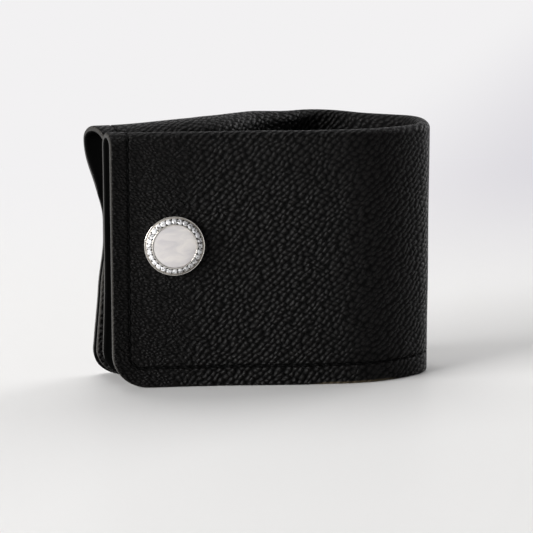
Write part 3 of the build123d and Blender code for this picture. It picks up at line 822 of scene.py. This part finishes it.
def folded(panel, sizes):
    """Folds a flat grid into the band; also gives each point's run, facing, groove depth and edge drop."""
    runs, shares = columns(panel), rows()
    bpy.ops.object.select_all(action="DESELECT")
    bpy.ops.mesh.primitive_grid_add(x_subdivisions=len(runs) - 1, y_subdivisions=len(shares) - 1, size=1.0)
    band = added("band")
    mesh = band.data
    flat = read_back(mesh.vertices, "co", 3)
    column = np.rint((flat[:, 0] + 0.5) * (len(runs) - 1)).astype(int)
    row = np.rint((flat[:, 1] + 0.5) * (len(shares) - 1)).astype(int)
    count = len(flat)
    place, facing = np.zeros((count, 3)), np.zeros((count, 3))
    depth, drop, edge, seam = np.zeros((4, count))
    flat_mm = np.zeros((count, 2))
    groove, rounding = sizes.groove / MM, sizes.edge / MM
    lengths = [over_length(panel, s, shares) for s in runs]
    for i in range(count):
        s, u = runs[column[i]], shares[row[i]]
        place[i] = panel.face(s, u)
        facing[i] = panel.outwards(s, u)
        flat_mm[i] = (s, lengths[column[i]][row[i]])
        leg = u <= LEG_SHARE or u >= 1.0 - LEG_SHARE
        z = panel.outline(s, u)[1] if leg else panel.height
        edge[i] = from_cut_edge(s, z, panel)
        seam[i] = from_stitch_line(s, z)
        rest = rounding - min(rounding, edge[i])
        drop[i] = rounding - sqrt(rounding ** 2 - rest ** 2)
        clear = smooth((hypot(place[i][0] - SNAP.x / MM, z - SNAP_HEIGHT) - WAVE_FROM_SNAP) / WAVE_RISE)
        soft = noise.noise(Vector((s / WAVE_LENGTH, flat_mm[i][1] / WAVE_LENGTH, WAVE_SEED)))
        depth[i] = groove * np.exp(-(seam[i] / GROOVE_WIDTH) ** 2)
        depth[i] += sizes.waviness / MM * soft * clear * smooth(edge[i] / WAVE_FROM_EDGE)
    mesh.vertices.foreach_set("co", (place * MM).astype(np.float32).ravel())
    uv = mesh.uv_layers[0]
    uv.name = "panel_mm"
    corner = read_back(mesh.loops, "vertex_index", 1, np.int32)
    uv.data.foreach_set("uv", flat_mm[corner].astype(np.float32).ravel())
    for name, distance in (("edge_mm", edge), ("seam_mm", seam)):
        mark = mesh.attributes.new(name, "FLOAT", "POINT")
        mark.data.foreach_set("value", distance.astype(np.float32))
    mesh.update()
    sample = mesh.polygons[len(mesh.polygons) // 3]
    if sample.normal.dot(Vector(facing[sample.vertices[0]])) < 0.0:
        only(band)
        editing("FACE", "SELECT")
        bpy.ops.mesh.flip_normals()
        bpy.ops.object.mode_set(mode="OBJECT")
    return band, flat_mm[:, 0], facing, depth, drop


def thickened(band, facing, depth, drop, thickness):
    """Makes the folded sheet solid, presses the groove, rounds the cut edges and keeps it above the floor."""
    applied(band, "SOLIDIFY", thickness=thickness, offset=-1.0, use_even_offset=True, use_rim=True,
            material_offset=1, material_offset_rim=2)
    mesh = band.data
    count = len(facing)
    if len(mesh.vertices) != 2 * count:
        raise RuntimeError("the leather sheet wasn't doubled evenly")
    place = read_back(mesh.vertices, "co", 3)
    place[:count] -= (facing * ((depth + drop) * MM)[:, None]).astype(np.float32)
    place[count:] += (facing * (INNER_ROUNDING * drop * MM)[:, None]).astype(np.float32)
    place[count:] -= (facing * (depth * MM)[:, None]).astype(np.float32) * GROOVE_THROUGH
    place[:, 2] = np.maximum(place[:, 2], 0.0)
    mesh.vertices.foreach_set("co", place.ravel())
    mesh.update()
    only(band)
    bpy.ops.object.shade_smooth()


# The three pieces of the band: lengths from and to, the bodies that each bends between, where that bending
# begins and ends, and the stretches of the solids that each stands for
STRETCHES = {
    "front": (-1.0, SIDE_FROM, "front_band", "bend_front", (46.0, 59.5), ("front",)),
    "side": (SIDE_FROM, SIDE_TO, "bend_front", "bend_back", (62.0, 74.2), ("bend_front", "bend_back")),
    "back": (SIDE_TO, TOTAL + 1.0, "bend_back", "back_band", (85.6, 100.0), ("back",)),
}


def parted(band, runs):
    """Parts the band into its front, side and back pieces, with the shading kept across the cuts."""
    kept = band.data.attributes.new("whole_normal", "FLOAT_VECTOR", "POINT")
    kept.data.foreach_set("vector", read_back(band.data.vertex_normals, "vector", 3).ravel())
    run = band.data.attributes.new("run_mm", "FLOAT", "POINT")
    run.data.foreach_set("value", runs.astype(np.float32))
    pieces = {"front": band}
    for stretch in ("side", "back"):
        low, high = STRETCHES[stretch][:2]
        only(band)
        values = read_back(band.data.attributes["run_mm"].data, "value", 1)
        chosen = [bool(low < np.mean(values[list(face.vertices)]) < high) for face in band.data.polygons]
        editing("FACE", "DESELECT")
        bpy.ops.object.mode_set(mode="OBJECT")
        band.data.polygons.foreach_set("select", chosen)
        bpy.ops.object.mode_set(mode="EDIT")
        bpy.ops.mesh.separate(type="SELECTED")
        bpy.ops.object.mode_set(mode="OBJECT")
        pieces[stretch] = [obj for obj in bpy.context.selected_objects if obj is not band][0]
    for stretch, piece in pieces.items():
        piece.name = piece.data.name = "band_" + stretch
        closed(piece)
    return pieces


def closed(piece):
    """Closes the cut ends of a parted piece and sets its shading from the whole band."""
    mesh = piece.data
    before = len(mesh.polygons)
    shell = bmesh.new()
    shell.from_mesh(mesh)
    bmesh.ops.holes_fill(shell, edges=[edge for edge in shell.edges if edge.is_boundary], sides=0)
    shell.to_mesh(mesh)
    shell.free()
    mesh.update()
    normals = read_back(mesh.attributes["whole_normal"].data, "vector", 3)
    split = normals[read_back(mesh.loops, "vertex_index", 1, np.int32)]
    for face in list(mesh.polygons)[before:]:
        face.material_index = 2
        for i in face.loop_indices:
            split[i] = face.normal
    mesh.normals_split_custom_set([tuple(n) for n in split])
    for name in ("whole_normal", "run_mm"):
        mesh.attributes.remove(mesh.attributes[name])


def flexed(piece, stretch, slot, *kinds):
    """Bakes a piece's place into its mesh and hides the stretches of the solids that it stands for."""
    _, _, first, second, bend, nodes = STRETCHES[stretch]
    start, end = [tuple((Vector((*plan(s)[0], 0.0)) + TO_FRAME) * MM) for s in bend]
    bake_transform(piece)
    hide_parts(*[kind + node for kind in kinds for node in nodes])


class CUFF_OT_band(bpy.types.Operator):
    """Folds the grained leather panel double, bends it into the loop and parts it at the bends"""
    bl_idname = "cuff.band"
    bl_label = "Fold leather band"

    def execute(self, context):
        sizes, colours = context.scene.cuff_band, context.scene.cuff_colours
        band, runs, facing, depth, drop = folded(Panel(sizes), sizes)
        for name, shader_of in (("grained_calf_leather", grained_leather),
                                ("smooth_lining_leather", lining_leather),
                                ("burnished_leather_edge", cut_edge)):
            band.data.materials.append(finished(name, shader_of, colours))
        thickened(band, facing, depth, drop, sizes.thickness)
        for stretch, piece in parted(band, np.concatenate([runs, runs])).items():
            flexed(piece, stretch, "grained_leather", "skin_", "lining_")
        return {"FINISHED"}


def stitch_line(panel):
    """The sewing line as (length, outline share) points, leg by leg and over both ends."""
    lines = []
    for inner in (False, True):
        lines.append([(s, panel.height_share(s, STITCH_FROM_BOTTOM, inner))
                      for s in np.linspace(STITCH_TURN, TOTAL - STITCH_TURN, ROW_POINTS)])
        for tip, inwards in ((0.0, 1.0), (TOTAL, -1.0)):
            line = []
            for t in np.linspace(0.0, 1.0, TURN_POINTS):
                s = tip + inwards * (STITCH_TURN + (STITCH_FROM_END - STITCH_TURN) * t)
                z = STITCH_FROM_BOTTOM + (STITCH_TURN_UP - STITCH_FROM_BOTTOM) * t
                line.append((s, panel.height_share(s, z, inner)))
            lines.append(line)
    for s in (STITCH_FROM_END, TOTAL - STITCH_FROM_END):
        begin = panel.height_share(s, STITCH_TURN_UP, False)
        lines.append([(s, begin + (1.0 - 2.0 * begin) * t) for t in np.linspace(0.0, 1.0, END_POINTS)])
    return lines


def stitches_on(panel, line, sizes):
    """Places of the stitches along one line: (length from the tip, matrix)."""
    points = [panel.face(s, u) for s, u in line]
    runs = [0.0]
    for a, b in zip(points, points[1:]):
        runs.append(runs[-1] + (b - a).length)
    count = max(1, int(runs[-1] / (sizes.pitch / MM)))
    pitch = runs[-1] / count
    found = []
    for i in range(count):
        middle = (i + 0.5) * pitch
        j = min(len(runs) - 2, int(np.searchsorted(runs, middle)) - 1)
        t = (middle - runs[j]) / (runs[j + 1] - runs[j])
        s = line[j][0] + (line[j + 1][0] - line[j][0]) * t
        u = line[j][1] + (line[j + 1][1] - line[j][1]) * t
        along = (points[j + 1] - points[j]).normalized()
        out = panel.outwards(s, u)
        side = out.cross(along).normalized()
        out = along.cross(side)
        turn = Matrix((side, out, along)).transposed().to_4x4()
        at = panel.face(s, u) - out * (sizes.sunk / MM)
        found.append((s, Matrix.Translation(at * MM) @ turn))
    return found


def copies(name, pattern, matrices):
    """One piece made of copies of a modelled shape, each with its own mesh."""
    parts = []
    for matrix in matrices:
        twin = pattern.copy()
        twin.data = pattern.data.copy()
        twin.data.transform(matrix)
        bpy.context.scene.collection.objects.link(twin)
        parts.append(twin)
    only(*parts)
    bpy.ops.object.join()
    return added(name)


def gone(obj):
    """Removes a shape that was only the pattern for its copies."""
    mesh = obj.data
    bpy.data.objects.remove(obj)
    bpy.data.meshes.remove(mesh)


class CUFF_OT_stitching(bpy.types.Operator):
    """Sews the row of waxed stitches along the ends and above the bottom edge"""
    bl_idname = "cuff.stitching"
    bl_label = "Sew stitches"

    def execute(self, context):
        sizes = context.scene.cuff_stitches
        panel = Panel(context.scene.cuff_band)
        bpy.ops.object.select_all(action="DESELECT")
        bpy.ops.mesh.primitive_uv_sphere_add(segments=8, ring_count=6, radius=sizes.thread / 2.0)
        stitch = added("stitch")
        # A stitch is fattest in the middle and dips into its holes at both ends.
        editing("VERT", "SELECT")
        bpy.ops.transform.resize(value=(STITCH_WIDE, STITCH_FLAT, sizes.run / sizes.thread))
        bpy.ops.object.mode_set(mode="OBJECT")
        for vertex in stitch.data.vertices:
            share = vertex.co.z / (sizes.run / 2.0)
            vertex.co.y -= STITCH_DIP * sizes.thread * share ** 4
        bpy.ops.object.shade_smooth()
        stitch.data.materials.append(finished("waxed_black_thread", waxed_thread, context.scene.cuff_colours))
        found = []
        for line in stitch_line(panel):
            found += stitches_on(panel, line, sizes)
        for stretch, (low, high, *_) in STRETCHES.items():
            row = copies("stitches_" + stretch, stitch, [matrix for s, matrix in found if low <= s < high])
            flexed(row, stretch, "waxed_thread", "thread_")
        gone(stitch)
        return {"FINISHED"}


def turned(name, profile, sides, close=False):
    """A turned shape about +Z: a circle drawn out from radius to radius, in metres from millimetres."""
    bpy.ops.object.select_all(action="DESELECT")
    radius, height = profile[0]
    bpy.ops.mesh.primitive_circle_add(vertices=sides, radius=radius * MM, fill_type="NOTHING",
                                      location=(0.0, 0.0, height * MM))
    obj = added(name)
    bpy.ops.object.transform_apply(location=True, rotation=True, scale=True)
    editing("VERT", "SELECT")
    steps = list(profile[1:]) + ([profile[0]] if close else [])
    for next_radius, next_height in steps:
        bpy.ops.mesh.extrude_region_move(
            TRANSFORM_OT_translate={"value": (0.0, 0.0, (next_height - height) * MM)})
        ratio = next_radius / radius
        bpy.ops.transform.resize(value=(ratio, ratio, 1.0), center_override=(0.0, 0.0, next_height * MM))
        radius, height = next_radius, next_height
    bpy.ops.mesh.select_all(action="SELECT")
    bpy.ops.mesh.remove_doubles(threshold=WELD * MM)
    bpy.ops.mesh.normals_make_consistent(inside=False)
    bpy.ops.object.mode_set(mode="OBJECT")
    return obj


def rounded(points, radius):
    """A profile with each marked corner rounded: points are (r, h, round it or not)."""
    profile = []
    count = len(points)
    for i, (r, h, soft) in enumerate(points):
        at = Vector((r, h))
        if not soft:
            profile.append((r, h))
            continue
        before = Vector(points[i - 1][:2]) - at
        after = Vector(points[(i + 1) % count][:2]) - at
        reach = min(radius, ROUND_SHARE * before.length, ROUND_SHARE * after.length)
        first, last = at + before.normalized() * reach, at + after.normalized() * reach
        for k in range(ROUND_STEPS + 1):
            t = k / ROUND_STEPS
            spot = first * (1 - t) ** 2 + at * (2 * t * (1 - t)) + last * t ** 2
            profile.append((spot.x, spot.y))
    return profile


# The cap is modelled along +Z and set on the snap's axis, facing forwards.
ON_SNAP = Matrix.Translation(SNAP) @ Matrix.Rotation(pi / 2.0, 4, "X")


def ring_seat(sizes):
    """Middle radius, height and slant of the stone ring, in millimetres and radians."""
    inner = sizes.inlay / MM / 2.0 + SEAT
    outer = sizes.diameter / MM / 2.0 - sizes.rim / MM - SEAT
    return (inner + outer) / 2.0, (RING_INNER_TOP + RING_OUTER_TOP) / 2.0, atan2(
        RING_INNER_TOP - RING_OUTER_TOP, outer - inner)


def on_ring(sizes, angle, along, lift):
    """Matrix that sets a shape on the slanted ring at an angle, and some way along or above it."""
    radius, height, slant = ring_seat(sizes)
    return (ON_SNAP @ Matrix.Rotation(angle, 4, "Z") @ Matrix.Translation((radius * MM, 0.0, height * MM))
            @ Matrix.Rotation(slant, 4, "Y") @ Matrix.Translation((along * MM, 0.0, lift * MM)))


# Rings of points of a brilliant: how many, radius and height by the girdle's own radius, and turn
BRILLIANT = ((16, 1.0, 0.06, 0.0), (8, 0.79, 0.25, pi / 8.0), (8, 0.55, 0.36, 0.0), (8, 0.03, -0.62, 0.0))


def brilliant(sizes):
    """One round brilliant: table, star, main and girdle facets over a pointed pavilion."""
    r = sizes.stone / 2.0
    bpy.ops.object.select_all(action="DESELECT")
    bpy.ops.mesh.primitive_circle_add(vertices=16, radius=r)
    stone = added("stone")
    editing("VERT", "SELECT")
    for corners, share, height, turn in BRILLIANT:
        bpy.ops.mesh.primitive_circle_add(vertices=corners, radius=share * r,
                                          location=(0.0, 0.0, height * r), rotation=(0.0, 0.0, turn))
    bpy.ops.mesh.select_all(action="SELECT")
    bpy.ops.mesh.convex_hull()
    bpy.ops.mesh.select_all(action="SELECT")
    bpy.ops.mesh.dissolve_limited(angle_limit=ONE_FACET)
    bpy.ops.object.mode_set(mode="OBJECT")
    return stone


def capped_poles(obj):
    """Fills the two small holes on the axis of a turned solid."""
    only(obj)
    editing("EDGE", "DESELECT")
    bpy.ops.mesh.select_non_manifold(extend=False, use_wire=False, use_multi_face=False,
                                     use_non_contiguous=False, use_verts=False)
    bpy.ops.mesh.edge_face_add()
    bpy.ops.mesh.select_all(action="SELECT")
    bpy.ops.mesh.normals_make_consistent(inside=False)
    bpy.ops.object.mode_set(mode="OBJECT")


class CUFF_OT_cap(bpy.types.Operator):
    """Turns the cap plate and stone ring, sets the stones and their beads, and lays in the pale disc"""
    bl_idname = "cuff.cap"
    bl_label = "Set jewelled cap"

    def execute(self, context):
        sizes, colours = context.scene.cuff_cap, context.scene.cuff_colours
        rim, wall, top = sizes.diameter / MM / 2.0, sizes.rim / MM, sizes.rim_height / MM
        inlay, level = sizes.inlay / MM / 2.0, sizes.inlay_top / MM
        inner, outer = inlay + SEAT, rim - wall - SEAT
        plate = turned("cap_plate_turned", rounded([
            (POST_RADIUS, 0.0, False), (rim, 0.0, True), (rim, top, True), (rim - wall, top, True),
            (rim - wall, CAP_PLATE, False),
            (POST_RADIUS, CAP_PLATE, False)], RIM_ROUNDING), CAP_SIDES, close=True)
        ring = turned("stone_ring_turned", rounded([
            (inner, CAP_PLATE, False), (outer, CAP_PLATE, False), (outer, RING_OUTER_TOP - SEAT_DROP, True),
            (inner + RING_LIP, RING_INNER_TOP - LIP_HEIGHT, True),
            (inner + RING_LIP - LIP_TAPER, RING_INNER_TOP, True),
            (inner, RING_INNER_TOP, True)], RING_ROUNDING), CAP_SIDES, close=True)
        step = 2.0 * pi / sizes.stones
        stone = brilliant(sizes)
        stones = copies("stones_cut", stone, [
            on_ring(sizes, i * step, STONE_LIFT, STONE_LIFT) @ Matrix.Rotation(i * STONE_TWIST, 4, "Z")
            for i in range(sizes.stones)])
        bpy.ops.object.select_all(action="DESELECT")
        bpy.ops.mesh.primitive_ico_sphere_add(subdivisions=2, radius=sizes.bead / 2.0)
        bead = added("bead")
        bpy.ops.object.shade_smooth()
        row = BEAD_ROW * sizes.stone / MM
        beads = copies("setting_beads_raised", bead, [
            on_ring(sizes, (i + 0.5) * step, side * row, -STONE_LIFT)
            for i in range(sizes.stones) for side in (-1.0, 1.0)])
        gone(stone)
        gone(bead)
        # A flat back, a straight wall with a small bevel, and a crown that is highest in the middle
        crown = [(inlay * (1.0 - t), level + INLAY_DOME * (1.0 - (1.0 - t) ** 2))
                 for t in np.linspace(*CROWN_SHARES)]
        disc = turned("inlay_disc_domed", [
            (inlay * INLAY_POLE, CAP_PLATE + SEAT), (inlay, CAP_PLATE + SEAT), (inlay, level - INLAY_WALL),
            (inlay - INLAY_BEVEL, level - INLAY_BEVEL)] + crown, INLAY_SIDES)
        capped_poles(disc)
        for piece in (plate, ring, disc):
            only(piece)
            bpy.ops.object.shade_smooth_by_angle(angle=SHARP)
            placed(piece, ON_SNAP)
        # The pits finish paints the shade of the pits between the stones onto the beads
        metal, pits, seat = [finished(name, marked_metal, colours, name)
                             for name in ("rhodium_plated_metal", "pit_shade_beads", "blasted_plated_metal")]
        gem = finished("cut_cubic_zirconia", cut_stone, colours)
        pearl = finished("polished_mother_of_pearl", pearl_inlay, colours)
        for piece, slot, node, *finishes in (
                (plate, "cap_metal", "cap_plate", metal),
                (ring, "cap_metal", "stone_ring", metal, seat),
                (beads, "cap_metal", "setting_beads", pits),
                (stones, "cut_stones", "stones", gem),
                (disc, "pearl_inlay", "inlay_disc", pearl)):
            piece.data.materials.clear()
            for finish in finishes:
                piece.data.materials.append(finish)
            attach(piece, "front_band")
            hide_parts(node)
        # The lip round the inlay is polished, and the seat of the stones outside it is blasted.
        for face in ring.data.polygons:
            away = (face.center - SNAP) / MM
            face.material_index = 1 if hypot(away.x, away.z) > inner + RING_LIP else 0
        return {"FINISHED"}


class CUFF_OT_fittings(bpy.types.Operator):
    """Gives the working parts of the snap their plated finishes"""
    bl_idname = "cuff.fittings"
    bl_label = "Plate snap fittings"

    def execute(self, context):
        for name, nodes in (("nickel_plated_brass", ("cap_post", "socket", "stud", "stud_post")),
                            ("drawn_spring_wire", ("socket_spring",))):
            finish = finished(name, marked_metal, context.scene.cuff_colours, name)
            for node in nodes:
                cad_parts[node].data.materials.clear()
                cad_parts[node].data.materials.append(finish)
        return {"FINISHED"}


def coated_table(tree, colours):
    """Pale coated table, nearly dull, which runs up into a glowing backdrop with painted shade towards the
    right.
    """
    place = add_node(tree, "TexCoord").outputs["Object"]
    haze = add_node(tree, "TexNoise", {"Vector": place, "Scale": 6.0})
    rough = add_node(tree, "MapRange", {"Value": haze, "To Min": 0.32, "To Max": 0.38})
    table = add_node(tree, "BsdfPrincipled", {"Base Color": colours.floor, "Roughness": rough, "IOR": 1.45,
                                              "Specular IOR Level": 0.02})
    # The backdrop starts 30 mm behind the cuff's middle and is full at 220 mm; it is paler towards the left,
    # with painted shade towards the right.
    split = add_node(tree, "SeparateXYZ", {0: place})
    behind = add_node(tree, "MapRange", {"Value": split.outputs["Y"], "From Min": 0.03, "From Max": 0.22},
                      **EASED)
    across = add_node(tree, "VectorMath", {0: place, 1: (1.0, -0.4, 0.0)}, operation="DOT_PRODUCT")
    side = add_node(tree, "MapRange", {"Value": across, "From Min": -0.06, "From Max": 0.03}, **EASED)
    tone = add_node(tree, "Mix", {"Factor": side, "A": colours.backdrop, "B": colours.backdrop_shade}, **TONE)
    glow = add_node(tree, "Emission", {"Color": tone, "Strength": 1.0})
    # The camera, metal and stones see the backdrop's own glow; it lights nothing else.
    path = add_node(tree, "LightPath")
    seen = path.outputs["Is Camera Ray"]
    for ray in ("Is Glossy Ray", "Is Transmission Ray"):
        seen = add_node(tree, "Math", {0: seen, 1: path.outputs[ray]}, operation="MAXIMUM")
    share = add_node(tree, "Math", {0: seen, 1: behind}, operation="MULTIPLY")
    return add_node(tree, "MixShader", {0: share, 1: table, 2: glow})


class CUFF_OT_studio(bpy.types.Operator):
    """Lays the pale table with its swept back, hangs the lamps and sets the camera"""
    bl_idname = "cuff.studio"
    bl_label = "Light studio"

    def execute(self, context):
        scene = context.scene
        bpy.ops.object.select_all(action="DESELECT")
        bpy.ops.mesh.primitive_plane_add(size=TABLE_SIZE, location=(0.0, TABLE_MIDDLE, 0.0))
        floor = added("table")
        bpy.ops.object.transform_apply(location=True, rotation=True, scale=True)
        editing("EDGE", "DESELECT")
        bpy.ops.object.mode_set(mode="OBJECT")
        far = max(vertex.co.y for vertex in floor.data.vertices)
        for edge in floor.data.edges:
            edge.select = all(floor.data.vertices[i].co.y > far - MM for i in edge.vertices)
        bpy.ops.object.mode_set(mode="EDIT")
        turns = [pi / 2.0 * i / SWEEP_STEPS for i in range(SWEEP_STEPS + 1)]
        climbs = [(SWEEP_RADIUS * (sin(b) - sin(a)), SWEEP_RADIUS * (cos(a) - cos(b)))
                  for a, b in zip(turns, turns[1:])]
        for back, up in climbs + [(0.0, BACK_HEIGHT)]:
            bpy.ops.mesh.extrude_region_move(TRANSFORM_OT_translate={"value": (0.0, back, up)})
        bpy.ops.object.mode_set(mode="OBJECT")
        bpy.ops.object.shade_smooth()
        floor.data.materials.append(finished("pale_coated_table", coated_table, scene.cuff_colours))

        scene.world = bpy.data.worlds.new("studio_air")
        scene.world.use_nodes = True
        air = scene.world.node_tree.nodes["Background"]
        air.inputs["Color"].default_value = scene.cuff_colours.air
        air.inputs["Strength"].default_value = AIR_STRENGTH
        for name, place, aim, size, power in LAMPS:
            data = bpy.data.lights.new(name, "AREA")
            data.shape = "RECTANGLE"
            data.size, data.size_y = size
            data.energy = power
            lamp = bpy.data.objects.new(name, data)
            lamp.location = place
            ray = Vector((0.0, 0.0, aim)) - Vector(place)
            lamp.rotation_euler = ray.to_track_quat("-Z", "Y").to_euler()
            scene.collection.objects.link(lamp)

        data = bpy.data.cameras.new("camera")
        data.lens, data.sensor_width = LENS, SENSOR
        data.clip_start, data.clip_end = CLIP
        camera = bpy.data.objects.new("camera", data)
        camera.location = (Vector(CAMERA_PLACE) + TO_FRAME) * MM
        camera.rotation_euler = (radians(CAMERA_TILT), 0.0, radians(CAMERA_TURN))
        scene.collection.objects.link(camera)
        scene.camera = camera
        scene.view_settings.view_transform = "Standard"
        return {"FINISHED"}


class CUFF_PT_sidebar(bpy.types.Panel):
    """Sizes, colours and making steps of the cuff"""
    bl_idname = "CUFF_PT_sidebar"
    bl_label = "Leather cuff"
    bl_space_type = "VIEW_3D"
    bl_region_type = "UI"
    bl_category = "Cuff"

    def draw(self, context):
        for key, (title, group) in SETTINGS.items():
            box = self.layout.box()
            box.label(text=title)
            for name in group.__annotations__:
                box.prop(getattr(context.scene, key), name)
        for step in OPERATORS:
            self.layout.operator(step.bl_idname)


SETTINGS = {
    "cuff_band": ("Band", CuffBandSizes),
    "cuff_stitches": ("Stitches", CuffStitchSizes),
    "cuff_cap": ("Cap", CuffCapSizes),
    "cuff_colours": ("Colours", CuffColours),
}
OPERATORS = (CUFF_OT_band, CUFF_OT_stitching, CUFF_OT_cap, CUFF_OT_fittings, CUFF_OT_studio)
CLASSES = tuple(group for _, group in SETTINGS.values()) + OPERATORS + (CUFF_PT_sidebar,)


def register():
    """Registers the cuff's sizes, steps and sidebar."""
    for item in CLASSES:
        bpy.utils.register_class(item)
    for key, (_, group) in SETTINGS.items():
        setattr(bpy.types.Scene, key, PointerProperty(type=group))


def unregister():
    """Takes the cuff's sizes, steps and sidebar out again."""
    for key in SETTINGS:
        delattr(bpy.types.Scene, key)
    for item in reversed(CLASSES):
        bpy.utils.unregister_class(item)


def main():
    """Makes the cuff and its studio."""
    register()
    bpy.ops.cuff.band()
    bpy.ops.cuff.stitching()
    bpy.ops.cuff.cap()
    bpy.ops.cuff.fittings()
    bpy.ops.cuff.studio()


if __name__ == "__main__":
    main()
